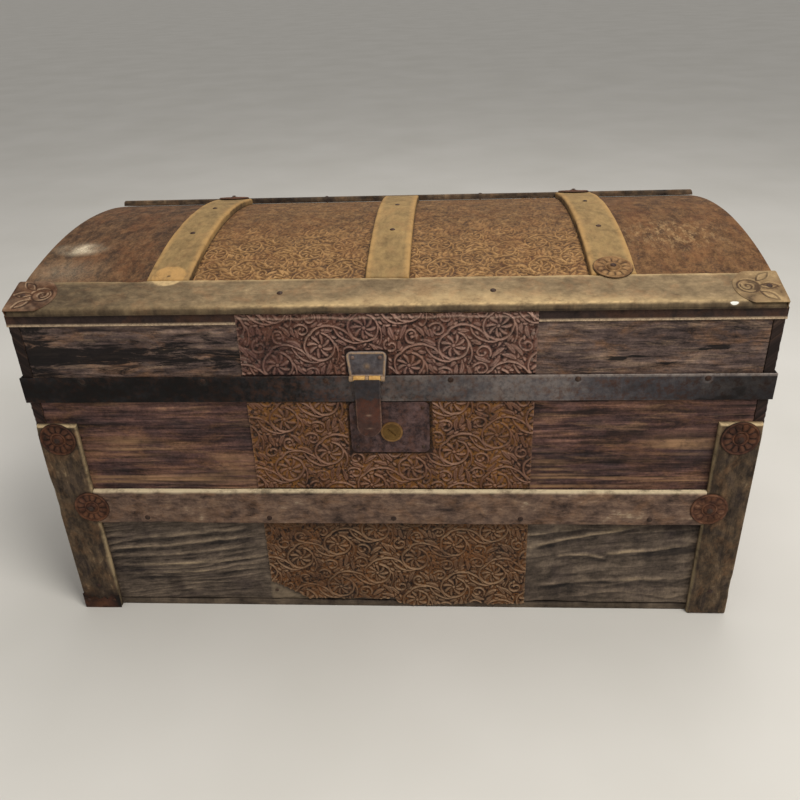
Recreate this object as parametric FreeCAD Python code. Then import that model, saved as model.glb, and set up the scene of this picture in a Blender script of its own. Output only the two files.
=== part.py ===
"""A low domed travelling trunk of pine boards with sheet tin, slats, a lock and leather handles.

Millimetres. The origin is on the floor under the middle of the box. +X is to the right, +Y to the back, +Z up.
"""

import FreeCAD, Part
import math
import os

# Box of boards
BODY_WIDTH = 813.0
BODY_DEPTH = 434.0
BOX_HEIGHT = 312.0
BOARD_THICKNESS = 12.0
BOTTOM_THICKNESS = 9.0
BOTTOM_PLANK_COUNT = 3

# Lid walls and dome
SEAM_GAP = 0.4
LID_WALL_HEIGHT = 83.1
DOME_RISE = 35.1
STAVE_THICKNESS = 6.0
STAVE_COUNT = 9

# Sheet tin
TIN_THICKNESS = 0.8
TIN_PANEL_WIDTH = 316.0
TIN_FLOOR_GAP = 6.0
TIN_JOINT_GAP = 8.0
TIN_TOP_GAP = 1.0
HEM_HEIGHT = 13.0

# Slats and battens
SLAT_THICKNESS = 7.5
SLAT_EDGE_RADIUS = 2.0
SLAT_JOINT_GAP = 0.3
SLAT_SEAT_GAP = 0.05
WALL_SLAT_WIDTH = 46.0
WALL_SLAT_DROP = 154.0
END_SLAT_MARGIN = 27.0
BATTEN_WIDTH = 47.0
BATTEN_BAND_GAP = 28.0
BATTEN_SIDE_MARGIN = 2.5
EDGE_SLAT_WIDTH = 52.0
FRONT_EDGE_SLAT_SETBACK = 3.5
FRONT_EDGE_SLAT_INSET = 22.0
REAR_EDGE_SLAT_INSET = 36.0
CROSS_SLAT_WIDTH = 48.0
CROSS_SLAT_SPACING = 240.0

# Metal trim on the slats
ROSETTE_RADIUS = 21.0
ROSETTE_RIM_WIDTH = 3.0
ROSETTE_RIM_HEIGHT = 1.6
ROSETTE_DISH_HEIGHT = 0.9
ROSETTE_BOSS_RADIUS = 7.0
ROSETTE_BOSS_HEIGHT = 3.2
BATTEN_ROSETTE_DROP = 17.0
JOINT_ROSETTE_SHIFT = 4.0
JOINT_ROSETTE_RISE = 1.0
LID_ROSETTE_SETBACK = 11.0
CAP_LENGTH = 48.0
CAP_ROUND = 16.0
CAP_THICKNESS = 1.2
SHOE_HEIGHT = 26.0
SHOE_THICKNESS = 0.8

# Iron band on the lid
BAND_WIDTH = 31.0
BAND_DROP = 14.0
BAND_THICKNESS = 1.5
BAND_CLEARANCE = 0.3
BAND_REAR_MARGIN = 10.0

# Nails and tacks
NAIL_HEAD_RADIUS = 3.2
NAIL_HEAD_HEIGHT = 1.3
NAIL_SHANK_RADIUS = 1.1
NAIL_LENGTH = 12.0
TACK_HEAD_RADIUS = 2.3
TACK_HEAD_HEIGHT = 1.1
TACK_SHANK_RADIUS = 0.7
TACK_LENGTH = 6.0
BAND_NAIL_EDGE = 5.0
BAND_NAIL_COUNT = 6
BAND_NAIL_END_MARGIN = 69.0
END_BAND_NAIL_COUNT = 3
END_BAND_NAIL_END_MARGIN = 85.0
SLAT_NAIL_EDGE = 9.0
SLAT_NAIL_COUNT = 5
SLAT_NAIL_END_MARGIN = 61.0
END_SLAT_NAIL_COUNT = 3
EDGE_SLAT_NAIL_X = 112.0
CROSS_SLAT_NAIL_PITCH = 106.0
CROSS_SLAT_NAIL_COUNT = 2
BATTEN_NAIL_HEIGHT = 36.0
CAP_NAIL_INSET = 12.0
TACK_EDGE = 5.0
TACK_PITCH = 30.0

# Lock
LOCK_WIDTH = 88.0
LOCK_HEIGHT = 64.0
LOCK_PLATE_THICKNESS = 2.0
LOCK_CORNER_RADIUS = 7.0
LOCK_BAND_GAP = 1.0
LOCK_TACK_INSET = 7.0
KEY_X = 2.0
KEY_DROP = 37.0
PLUG_RADIUS = 8.0
PLUG_PLAY = 0.05
PLUG_FACE_RADIUS = 10.0
PLUG_FACE_THICKNESS = 1.6
PLUG_FACE_GAP = 0.2
BEZEL_WIDTH = 2.0
BEZEL_GAP = 0.2
KEY_SLOT_LENGTH = 12.0
KEY_SLOT_WIDTH = 2.2
KEY_SLOT_DEPTH = 1.0
KEY_SLOT_ANGLE = 45.0
CAM_RADIUS = 9.0
CAM_THICKNESS = 1.0
CAM_GAP = 0.3
PEG_REACH = 6.5
PEG_RADIUS = 1.5
PEG_ANGLE = 45.0
POCKET_DEPTH = 9.5
POCKET_SIDE_MARGIN = 4.0
POCKET_DROP = 7.0
CASE_GAP = 0.3
CASE_WALL = 1.0
BOLT_HEIGHT = 5.0
BOLT_THICKNESS = 3.0
BOLT_DEPTH = 2.5
BOLT_TIP_GAP = 1.5
BOLT_GUIDE_GAP = 0.3
BOLT_GUIDE_HEIGHT = 3.0
FORK_WIDTH = 10.0
FORK_GAP = 0.25
FORK_END_GAP = 2.0

# Hasp
HASP_X = -22.0
HASP_AXIS_DROP = 1.0
HASP_KNUCKLE_RADIUS = 3.2
HASP_PIN_RADIUS = 1.5
HASP_PIN_PLAY = 0.05
HASP_BAND_GAP = 0.4
HASP_OUTER_HALF_WIDTH = 19.5
HASP_TONGUE_HALF_WIDTH = 14.7
HASP_CENTRE_HALF_WIDTH = 1.9
HASP_SIDE_GAP = 0.3
HASP_PLATE_TOP_WIDTH = 43.5
HASP_PLATE_HEIGHT = 29.0
HASP_PLATE_CORNER = 6.0
HASP_PLATE_THICKNESS = 1.5
HASP_TACK_INSET = 7.0
TONGUE_GAP = 1.6
TONGUE_THICKNESS = 2.5
TONGUE_WIDTH = 27.5
TONGUE_LENGTH = 71.0
TONGUE_SHOULDER = 20.0
STAPLE_THICKNESS = 4.0
STAPLE_HEIGHT = 16.0
STAPLE_DROP = 15.0
STAPLE_REACH = 5.8
STAPLE_EYE_GAP = 0.5
NOTCH_SIDE_GAP = 1.0
NOTCH_BOTTOM_GAP = 2.5
NOTCH_END_GAP = 2.2

# Rear hinges
HINGE_X = 240.0
HINGE_WIDTH = 60.0
HINGE_LEAF_HEIGHT = 50.0
HINGE_LEAF_THICKNESS = 2.0
HINGE_KNUCKLE_RADIUS = 4.5
HINGE_WALL_GAP = 0.3
HINGE_SIDE_GAP = 0.3
HINGE_PIN_RADIUS = 2.2
HINGE_PIN_PLAY = 0.05
HINGE_TURN_GAP = 0.5
HINGE_NAIL_EDGE = 10.0

# Leather handles
HANDLE_SLAT_GAP = 15.2
STRAP_WIDTH = 30.0
STRAP_THICKNESS = 5.0
STRAP_BOW = 24.0
STRAP_BOW_HALF_LENGTH = 84.0
STRAP_TAB_LENGTH = 36.0
HANDLE_CAP_LENGTH = 44.0
HANDLE_CAP_WALL = 1.5
HANDLE_CAP_FLANGE = 12.0
STRAP_FIT_GAP = 0.3
HANDLE_NAIL_EDGE = 7.0

Vec = FreeCAD.Vector
X_AXIS = Vec(1, 0, 0)
Y_AXIS = Vec(0, 1, 0)
Z_AXIS = Vec(0, 0, 1)
ORIGIN = Vec(0, 0, 0)
QUARTER_TURN = 90.0
FULL_TURN = 360.0
SIDES = (-1, 1)

# Planes and heights that follow from the driving dimensions
HALF_WIDTH = BODY_WIDTH / 2
INNER_HALF_WIDTH = HALF_WIDTH - BOARD_THICKNESS
BACK = BODY_DEPTH / 2
FRONT = -BACK
TIN_FACE = FRONT - TIN_THICKNESS
LID_BOTTOM = BOX_HEIGHT + SEAM_GAP
EAVE = LID_BOTTOM + LID_WALL_HEIGHT
INNER_RADIUS = BACK ** 2 / (2 * DOME_RISE) + DOME_RISE / 2
DOME_AXIS_HEIGHT = EAVE + DOME_RISE - INNER_RADIUS
STAVE_RADIUS = INNER_RADIUS + STAVE_THICKNESS
DOME_TIN_RADIUS = STAVE_RADIUS + TIN_THICKNESS
SLAT_BASE_RADIUS = DOME_TIN_RADIUS + SLAT_SEAT_GAP
SLAT_TOP_RADIUS = SLAT_BASE_RADIUS + SLAT_THICKNESS
TIN_EAVE = DOME_AXIS_HEIGHT + math.sqrt(DOME_TIN_RADIUS ** 2 - BACK ** 2)
FRONT_SLAT_ANGLE = math.asin((FRONT + FRONT_EDGE_SLAT_INSET) / SLAT_BASE_RADIUS)
REAR_SLAT_ANGLE = math.asin((BACK - REAR_EDGE_SLAT_INSET) / SLAT_BASE_RADIUS)
EDGE_SLAT_HALF_ANGLE = math.atan(EDGE_SLAT_WIDTH / 2 / SLAT_BASE_RADIUS)
CROSS_START_ANGLE = FRONT_SLAT_ANGLE + EDGE_SLAT_HALF_ANGLE + SLAT_JOINT_GAP / SLAT_BASE_RADIUS
CROSS_END_ANGLE = REAR_SLAT_ANGLE - EDGE_SLAT_HALF_ANGLE - SLAT_JOINT_GAP / SLAT_BASE_RADIUS
EDGE_SLAT_CORNER_RADIUS = math.hypot(SLAT_TOP_RADIUS, EDGE_SLAT_WIDTH / 2)
WALL_SLAT_HEIGHT = BOX_HEIGHT - WALL_SLAT_DROP
END_SLAT_HALF_LENGTH = BACK - END_SLAT_MARGIN
BATTEN_OUTER = HALF_WIDTH - BATTEN_SIDE_MARGIN
BATTEN_INNER = BATTEN_OUTER - BATTEN_WIDTH
WALL_SLAT_FACE = BACK + TIN_THICKNESS + SLAT_THICKNESS
BATTEN_FACE = BACK + SLAT_THICKNESS
BAND_BOTTOM = BOX_HEIGHT - BAND_DROP
BAND_TOP = BAND_BOTTOM + BAND_WIDTH
BAND_BACK = TIN_FACE - BAND_CLEARANCE
BAND_FACE = BAND_BACK - BAND_THICKNESS
BATTEN_HEIGHT = BAND_BOTTOM - BATTEN_BAND_GAP
LOCK_TOP = BAND_BOTTOM - LOCK_BAND_GAP
LOCK_FACE = TIN_FACE - LOCK_PLATE_THICKNESS
KEY_HEIGHT = LOCK_TOP - KEY_DROP
POCKET_TOP = LOCK_TOP - POCKET_DROP
POCKET_BOTTOM = LOCK_TOP - LOCK_HEIGHT + POCKET_DROP
POCKET_HALF_WIDTH = LOCK_WIDTH / 2 - POCKET_SIDE_MARGIN
STAPLE_MIDDLE = LOCK_TOP - STAPLE_DROP
STAPLE_BOTTOM = STAPLE_MIDDLE - STAPLE_HEIGHT / 2
STAPLE_END = FRONT + STAPLE_REACH
NOTCH_HALF_WIDTH = STAPLE_THICKNESS / 2 + NOTCH_SIDE_GAP
NOTCH_BOTTOM = STAPLE_BOTTOM - NOTCH_BOTTOM_GAP
BOLT_MIDDLE = FRONT + BOLT_DEPTH
HASP_AXIS_Y = BAND_FACE - HASP_BAND_GAP - HASP_KNUCKLE_RADIUS
HASP_AXIS_Z = BAND_TOP - HASP_AXIS_DROP
HINGE_AXIS_Y = BACK + HINGE_WALL_GAP + HINGE_KNUCKLE_RADIUS
HINGE_AXIS_Z = BOX_HEIGHT + SEAM_GAP / 2
HANDLE_CAP_HALF_HEIGHT = STRAP_WIDTH / 2 + STRAP_FIT_GAP + HANDLE_CAP_WALL + HANDLE_CAP_FLANGE
HANDLE_HEIGHT = WALL_SLAT_HEIGHT + WALL_SLAT_WIDTH / 2 + HANDLE_SLAT_GAP + HANDLE_CAP_HALF_HEIGHT
ABOVE_DOME = DOME_AXIS_HEIGHT + 2 * DOME_TIN_RADIUS


def block(x0, x1, y0, y1, z0, z1):
    return Part.makeBox(x1 - x0, y1 - y0, z1 - z0, Vec(x0, y0, z0))


def rod(radius, x0, x1, y, z):
    return Part.makeCylinder(radius, x1 - x0, Vec(x0, y, z), X_AXIS)


def group(shapes):
    return Part.makeCompound(list(shapes))


def mirrored(shape):
    return shape.mirror(ORIGIN, X_AXIS)


def prism(points, depth):
    return Part.Face(Part.makePolygon(points + [points[0]])).extrude(depth)


def turned(points):
    """A solid of revolution about Z from the (radius, height) points of its outline."""
    outline = [Vec(radius, 0, height) for radius, height in points]
    return Part.Face(Part.makePolygon(outline + [outline[0]])).revolve(ORIGIN, Z_AXIS, FULL_TURN)


def spread(count, pitch):
    """Places along a row of evenly spaced things, centred on zero."""
    return [(i - (count - 1) / 2) * pitch for i in range(count)]


def on_front(shape, x, y, z):
    """Stands a shape that was made facing +Z so that it faces the front."""
    return shape.rotated(ORIGIN, X_AXIS, QUARTER_TURN).translated(Vec(x, y, z))


def on_back(shape, x, y, z):
    return shape.rotated(ORIGIN, X_AXIS, -QUARTER_TURN).translated(Vec(x, y, z))


def on_end(shape, side, x, y, z):
    """Faces the shape to the right for side 1, to the left for side -1."""
    return shape.rotated(ORIGIN, Y_AXIS, side * QUARTER_TURN).translated(Vec(side * x, y, z))


def on_dome(shape, x, radius, angle):
    """Lays a shape that was made facing +Z on the dome, at an angle from its crown towards the back."""
    centre = Vec(0, 0, DOME_AXIS_HEIGHT)
    lifted = shape.translated(Vec(x, 0, DOME_AXIS_HEIGHT + radius))
    return lifted.rotated(centre, X_AXIS, -math.degrees(angle))


def sector(r0, r1, a0, a1, x0, x1):
    """A bent board that follows the dome between two radii and two angles."""
    def point(radius, angle):
        return Vec(x0, radius * math.sin(angle), DOME_AXIS_HEIGHT + radius * math.cos(angle))
    middle = (a0 + a1) / 2
    outer = Part.Arc(point(r1, a0), point(r1, middle), point(r1, a1)).toShape()
    inner = Part.Arc(point(r0, a1), point(r0, middle), point(r0, a0)).toShape()
    back = Part.LineSegment(point(r1, a1), point(r0, a1)).toShape()
    front = Part.LineSegment(point(r0, a0), point(r1, a0)).toShape()
    return Part.Face(Part.Wire([outer, back, inner, front])).extrude(Vec(x1 - x0, 0, 0))


def under_dome(shape):
    """The part of a board that lies below the staves."""
    return shape.common(rod(INNER_RADIUS, -BODY_WIDTH, BODY_WIDTH, 0, DOME_AXIS_HEIGHT)).Solids[0]


def within_depth(shape):
    trim = block(-BODY_WIDTH, BODY_WIDTH, FRONT, BACK, DOME_AXIS_HEIGHT, ABOVE_DOME)
    return shape.common(trim).Solids[0]


def eased(shape, facing):
    """Rounds the edges of the face that lies furthest in the given direction."""
    reach = max(vertex.Point.dot(facing) for vertex in shape.Vertexes)

    def outermost(vertex):
        return abs(vertex.Point.dot(facing) - reach) < SLAT_SEAT_GAP
    return shape.makeFillet(SLAT_EDGE_RADIUS, [e for e in shape.Edges if all(map(outermost, e.Vertexes))])


def round_head_nail(head_radius, head_height, shank_radius, length):
    """A nail that points down, with its head on the plane z = 0."""
    ball = (head_radius ** 2 + head_height ** 2) / (2 * head_height)
    half = math.asin(head_radius / ball) / 2
    rim = Vec(head_radius, 0, 0)
    top = Vec(0, 0, head_height)
    middle = Vec(ball * math.sin(half), 0, head_height - ball * (1 - math.cos(half)))
    tip = Vec(0, 0, -length)
    corners = [top, tip, Vec(shank_radius, 0, -length), Vec(shank_radius, 0, 0), rim]
    edges = [Part.LineSegment(a, b).toShape() for a, b in zip(corners, corners[1:])]
    edges.append(Part.Arc(rim, middle, top).toShape())
    return Part.Face(Part.Wire(edges)).revolve(ORIGIN, Z_AXIS, FULL_TURN)


def nail():
    return round_head_nail(NAIL_HEAD_RADIUS, NAIL_HEAD_HEIGHT, NAIL_SHANK_RADIUS, NAIL_LENGTH)


def tack():
    return round_head_nail(TACK_HEAD_RADIUS, TACK_HEAD_HEIGHT, TACK_SHANK_RADIUS, TACK_LENGTH)


# Boards of the box

def bottom_planks():
    width = BODY_DEPTH / BOTTOM_PLANK_COUNT
    starts = [FRONT + i * width for i in range(BOTTOM_PLANK_COUNT)]
    return group(block(-HALF_WIDTH, HALF_WIDTH, y, y + width, 0, BOTTOM_THICKNESS) for y in starts)


def wall_planks(x0, x1, y0, y1):
    """A lower and an upper plank, which meet behind the middle of the slat."""
    lower = block(x0, x1, y0, y1, BOTTOM_THICKNESS, WALL_SLAT_HEIGHT)
    upper = block(x0, x1, y0, y1, WALL_SLAT_HEIGHT, BOX_HEIGHT)
    return lower, upper


def lock_opening(y0):
    """The room behind the lock plate, and the slot above it in which the staple rises with the lid."""
    pocket = block(-POCKET_HALF_WIDTH, POCKET_HALF_WIDTH, y0, FRONT + POCKET_DEPTH, POCKET_BOTTOM, POCKET_TOP)
    slot = block(HASP_X - NOTCH_HALF_WIDTH, HASP_X + NOTCH_HALF_WIDTH, y0, STAPLE_END + NOTCH_END_GAP,
                 STAPLE_MIDDLE, BOX_HEIGHT)
    return pocket.fuse(slot)


def front_planks():
    lower, upper = wall_planks(-INNER_HALF_WIDTH, INNER_HALF_WIDTH, FRONT, FRONT + BOARD_THICKNESS)
    return lower, upper.cut(lock_opening(FRONT)).Solids[0]


def back_planks():
    return group(wall_planks(-INNER_HALF_WIDTH, INNER_HALF_WIDTH, BACK - BOARD_THICKNESS, BACK))


def right_end_planks():
    return group(wall_planks(INNER_HALF_WIDTH, HALF_WIDTH, FRONT, BACK))


# Sheet tin on the front

def front_sheet(z0, z1):
    return block(-TIN_PANEL_WIDTH / 2, TIN_PANEL_WIDTH / 2, TIN_FACE, FRONT, z0, z1)


def front_lower_tin():
    return front_sheet(TIN_FLOOR_GAP, WALL_SLAT_HEIGHT - TIN_JOINT_GAP / 2)


def front_upper_tin():
    sheet = front_sheet(WALL_SLAT_HEIGHT + TIN_JOINT_GAP / 2, BOX_HEIGHT)
    return sheet.cut(lock_opening(TIN_FACE)).Solids[0]


def lid_front_tin():
    return front_sheet(LID_BOTTOM, TIN_EAVE - TIN_TOP_GAP)


# Slats and battens on the box

def upright_batten(facing):
    y0, y1 = sorted((facing * BACK, facing * BATTEN_FACE))
    return eased(block(BATTEN_INNER, BATTEN_OUTER, y0, y1, 0, BATTEN_HEIGHT), Vec(0, facing, 0))


def lengthwise_slat(facing):
    y0, y1 = sorted((facing * (WALL_SLAT_FACE - SLAT_THICKNESS), facing * WALL_SLAT_FACE))
    reach = BATTEN_INNER - SLAT_JOINT_GAP
    low = WALL_SLAT_HEIGHT - WALL_SLAT_WIDTH / 2
    return eased(block(-reach, reach, y0, y1, low, low + WALL_SLAT_WIDTH), Vec(0, facing, 0))


def right_end_slat():
    low = WALL_SLAT_HEIGHT - WALL_SLAT_WIDTH / 2
    bar = block(HALF_WIDTH, HALF_WIDTH + SLAT_THICKNESS, -END_SLAT_HALF_LENGTH, END_SLAT_HALF_LENGTH,
                low, low + WALL_SLAT_WIDTH)
    return eased(bar, X_AXIS)


def left_batten_shoe():
    """A strip of tin nailed round the foot of the left front batten."""
    x0 = -BATTEN_OUTER
    x1 = -BATTEN_INNER
    face = -BATTEN_FACE
    return block(x0, x1, face - SHOE_THICKNESS, face, 0, SHOE_HEIGHT)


# Rosettes

def rosette():
    dish = ROSETTE_RADIUS - ROSETTE_RIM_WIDTH
    return turned([
        (0, 0), (ROSETTE_RADIUS, 0), (ROSETTE_RADIUS, ROSETTE_DISH_HEIGHT),
        (ROSETTE_RADIUS - ROSETTE_RIM_WIDTH / 2, ROSETTE_RIM_HEIGHT), (dish, ROSETTE_DISH_HEIGHT),
        (ROSETTE_BOSS_RADIUS, ROSETTE_RIM_HEIGHT), (ROSETTE_BOSS_RADIUS / 2, ROSETTE_BOSS_HEIGHT),
        (0, ROSETTE_BOSS_HEIGHT),
    ])


def box_rosette_places():
    """Centre and seat of the front rosettes: on each batten's top, and over each end of the slat."""
    batten_middle = (BATTEN_INNER + BATTEN_OUTER) / 2
    places = []
    for side in SIDES:
        places.append((side * batten_middle, -BATTEN_FACE, BATTEN_HEIGHT - BATTEN_ROSETTE_DROP))
        places.append((side * (BATTEN_INNER + JOINT_ROSETTE_SHIFT), -WALL_SLAT_FACE,
                       WALL_SLAT_HEIGHT + JOINT_ROSETTE_RISE))
    return places


def lid_rosette_places():
    """Sideways place and angle of the lid's rosettes: one at the front right, two at the rear."""
    setback = LID_ROSETTE_SETBACK / SLAT_TOP_RADIUS
    front = CROSS_START_ANGLE + setback
    rear = CROSS_END_ANGLE - setback
    return [(CROSS_SLAT_SPACING, front), (-CROSS_SLAT_SPACING, rear), (CROSS_SLAT_SPACING, rear)]


def box_rosettes():
    return group(on_front(rosette(), *place) for place in box_rosette_places())


def lid_rosettes():
    return group(on_dome(rosette(), x, EDGE_SLAT_CORNER_RADIUS, angle) for x, angle in lid_rosette_places())


# Lid

def lid_long_board(y0):
    y1 = y0 + BOARD_THICKNESS
    return under_dome(block(-INNER_HALF_WIDTH, INNER_HALF_WIDTH, y0, y1, LID_BOTTOM, ABOVE_DOME))


def lid_right_end():
    return under_dome(block(INNER_HALF_WIDTH, HALF_WIDTH, FRONT, BACK, LID_BOTTOM, ABOVE_DOME))


def dome_staves():
    reach = math.asin(BACK / INNER_RADIUS)
    step = 2 * reach / STAVE_COUNT
    starts = [-reach + i * step for i in range(STAVE_COUNT)]
    return group(within_depth(sector(INNER_RADIUS, STAVE_RADIUS, a, a + step, -HALF_WIDTH, HALF_WIDTH))
                 for a in starts)


def dome_sheet(x0, x1, hems):
    """Tin over the staves, with its front edge folded down where the wood below is bare."""
    reach = math.asin(BACK / STAVE_RADIUS)
    sheet = within_depth(sector(STAVE_RADIUS, DOME_TIN_RADIUS, -reach, reach, x0, x1))
    folds = [block(h0, h1, TIN_FACE, FRONT, TIN_EAVE - HEM_HEIGHT, TIN_EAVE) for h0, h1 in hems]
    return sheet.multiFuse(folds).Solids[0]


def dome_tin_middle():
    edge = TIN_PANEL_WIDTH / 2 + SLAT_JOINT_GAP
    hems = [(-CROSS_SLAT_SPACING, -edge), (edge, CROSS_SLAT_SPACING)]
    return dome_sheet(-CROSS_SLAT_SPACING, CROSS_SLAT_SPACING, hems)


def dome_tin_right():
    return dome_sheet(CROSS_SLAT_SPACING, HALF_WIDTH, [(CROSS_SLAT_SPACING, HALF_WIDTH)])


def edge_slat(half_length, angle):
    bar = block(-half_length, half_length, -EDGE_SLAT_WIDTH / 2, EDGE_SLAT_WIDTH / 2, 0, SLAT_THICKNESS)
    return on_dome(eased(bar, Z_AXIS), 0, SLAT_BASE_RADIUS, angle)


def cross_slat(x):
    x0 = x - CROSS_SLAT_WIDTH / 2
    x1 = x + CROSS_SLAT_WIDTH / 2
    bent = sector(SLAT_BASE_RADIUS, SLAT_TOP_RADIUS, CROSS_START_ANGLE, CROSS_END_ANGLE, x0, x1)
    centre = Vec(0, 0, DOME_AXIS_HEIGHT)

    def on_top(vertex):
        arm = vertex.Point - centre
        return abs(math.hypot(arm.y, arm.z) - SLAT_TOP_RADIUS) < SLAT_SEAT_GAP
    return bent.makeFillet(SLAT_EDGE_RADIUS, [e for e in bent.Edges if all(map(on_top, e.Vertexes))])


def right_corner_cap():
    """A cap over the end of the front edge slat, with a rounded tongue towards the middle."""
    half = EDGE_SLAT_WIDTH / 2
    end = HALF_WIDTH - FRONT_EDGE_SLAT_SETBACK
    start = end - CAP_LENGTH
    shoulder = start + CAP_ROUND
    corners = [Vec(shoulder, half, 0), Vec(end, half, 0), Vec(end, -half, 0), Vec(shoulder, -half, 0)]
    edges = [Part.LineSegment(a, b).toShape() for a, b in zip(corners, corners[1:])]
    edges.append(Part.Arc(corners[-1], Vec(start, 0, 0), corners[0]).toShape())
    top = Part.Face(Part.Wire(edges)).extrude(Vec(0, 0, CAP_THICKNESS))
    end_plate = block(end, end + CAP_THICKNESS, -half, half, -SLAT_THICKNESS, CAP_THICKNESS)
    return on_dome(top.fuse(end_plate).removeSplitter(), 0, SLAT_TOP_RADIUS, FRONT_SLAT_ANGLE)


def lid_band_front():
    reach = HALF_WIDTH + BAND_CLEARANCE + BAND_THICKNESS
    return block(-reach, reach, BAND_FACE, BAND_BACK, BAND_BOTTOM, BAND_TOP)


def lid_band_right():
    x0 = HALF_WIDTH + BAND_CLEARANCE
    return block(x0, x0 + BAND_THICKNESS, BAND_BACK, BACK - BAND_REAR_MARGIN, BAND_BOTTOM, BAND_TOP)


# Lock

def lock_plate():
    half = LOCK_WIDTH / 2
    plate = block(-half, half, LOCK_FACE, TIN_FACE, LOCK_TOP - LOCK_HEIGHT, LOCK_TOP)
    corners = [e for e in plate.Edges if abs(e.tangentAt(e.FirstParameter).y) > math.cos(math.pi / 4)]
    plate = plate.makeFillet(LOCK_CORNER_RADIUS, corners)
    key = Vec(KEY_X, LOCK_FACE, KEY_HEIGHT)
    hole = Part.makeCylinder(PLUG_RADIUS + PLUG_PLAY, LOCK_PLATE_THICKNESS, key, Y_AXIS)
    notch = block(HASP_X - NOTCH_HALF_WIDTH, HASP_X + NOTCH_HALF_WIDTH, LOCK_FACE, TIN_FACE,
                  NOTCH_BOTTOM, LOCK_TOP)
    return plate.cut(hole).cut(notch).Solids[0]


def keyhole_bezel():
    inner = PLUG_FACE_RADIUS + BEZEL_GAP
    outer = inner + BEZEL_WIDTH
    depth = PLUG_FACE_THICKNESS + PLUG_FACE_GAP
    at = Vec(KEY_X, LOCK_FACE - depth, KEY_HEIGHT)
    return Part.makeCylinder(outer, depth, at, Y_AXIS).cut(Part.makeCylinder(inner, depth, at, Y_AXIS))


def key_plug():
    """A brass face with a key slot, a barrel through the plate, and a cam with its peg behind it."""
    face_back = LOCK_FACE - PLUG_FACE_GAP
    face_front = face_back - PLUG_FACE_THICKNESS
    cam_front = TIN_FACE + CAM_GAP
    cam_back = cam_front + CAM_THICKNESS
    peg_end = BOLT_MIDDLE + BOLT_THICKNESS / 2

    def disc(radius, y0, y1, x=0.0, z=0.0):
        return Part.makeCylinder(radius, y1 - y0, Vec(KEY_X + x, y0, KEY_HEIGHT + z), Y_AXIS)
    lean = math.radians(PEG_ANGLE)
    peg = disc(PEG_RADIUS, cam_front, peg_end, PEG_REACH * math.sin(lean), PEG_REACH * math.cos(lean))
    barrel = disc(PLUG_RADIUS, face_front, cam_back)
    cam = disc(CAM_RADIUS, cam_front, cam_back)
    whole = disc(PLUG_FACE_RADIUS, face_front, face_back).multiFuse([barrel, cam, peg])
    half_long = KEY_SLOT_LENGTH / 2
    half_wide = KEY_SLOT_WIDTH / 2
    slot = block(-half_long, half_long, 0, KEY_SLOT_DEPTH, -half_wide, half_wide)
    slot = slot.rotated(ORIGIN, Y_AXIS, KEY_SLOT_ANGLE).translated(Vec(KEY_X, face_front, KEY_HEIGHT))
    return whole.cut(slot).removeSplitter().Solids[0]


def bolt_reach():
    """Tip and fork of the bolt when it is drawn back, and how far the peg moves it."""
    lean = math.radians(PEG_ANGLE)
    tip = HASP_X + STAPLE_THICKNESS / 2 + BOLT_TIP_GAP
    fork = KEY_X + PEG_REACH * math.sin(lean)
    return tip, fork, 2 * PEG_REACH * math.sin(lean)


def lock_bolt():
    tip, fork, _ = bolt_reach()
    y0 = BOLT_MIDDLE - BOLT_THICKNESS / 2
    y1 = BOLT_MIDDLE + BOLT_THICKNESS / 2
    top = STAPLE_MIDDLE + BOLT_HEIGHT / 2
    low = KEY_HEIGHT + PEG_REACH * math.cos(math.radians(PEG_ANGLE)) - PEG_RADIUS - FORK_END_GAP
    bar = block(tip, fork + FORK_WIDTH / 2, y0, y1, top - BOLT_HEIGHT, top)
    tail = block(fork - FORK_WIDTH / 2, fork + FORK_WIDTH / 2, y0, y1, low, top)
    half_slot = PEG_RADIUS + FORK_GAP
    slot_top = KEY_HEIGHT + PEG_REACH + PEG_RADIUS + FORK_GAP
    slot = block(fork - half_slot, fork + half_slot, y0, y1, low, slot_top)
    return bar.fuse(tail).cut(slot).removeSplitter().Solids[0]


def lock_case():
    """A sheet case behind the plate, open to it, with a guide above and below the bolt."""
    half = POCKET_HALF_WIDTH - CASE_GAP
    z0 = POCKET_BOTTOM + CASE_GAP
    z1 = POCKET_TOP - CASE_GAP
    back = FRONT + POCKET_DEPTH - CASE_GAP
    inside = back - CASE_WALL
    shell = block(-half, half, TIN_FACE, back, z0, z1)
    hollow = block(-half + CASE_WALL, half - CASE_WALL, TIN_FACE, inside, z0 + CASE_WALL, z1 - CASE_WALL)
    tip, fork, travel = bolt_reach()
    y0 = BOLT_MIDDLE - BOLT_THICKNESS / 2
    over = STAPLE_MIDDLE + BOLT_HEIGHT / 2 + BOLT_GUIDE_GAP
    under = STAPLE_MIDDLE - BOLT_HEIGHT / 2 - BOLT_GUIDE_GAP
    upper = block(tip, fork + FORK_WIDTH / 2, y0, inside, over, over + BOLT_GUIDE_HEIGHT)
    tail_left = fork - FORK_WIDTH / 2 - travel - BOLT_TIP_GAP
    lower = block(tip, tail_left, y0, inside, under - BOLT_GUIDE_HEIGHT, under)
    slot = block(HASP_X - NOTCH_HALF_WIDTH, HASP_X + NOTCH_HALF_WIDTH, TIN_FACE, STAPLE_END + NOTCH_END_GAP,
                 STAPLE_MIDDLE, POCKET_TOP)
    return shell.cut(hollow).cut(slot).multiFuse([upper, lower]).removeSplitter().Solids[0]


# Hasp

def knuckle(x0, x1, y, z, radius, bore):
    return rod(radius, x0, x1, y, z).cut(rod(bore, x0, x1, y, z))


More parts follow.
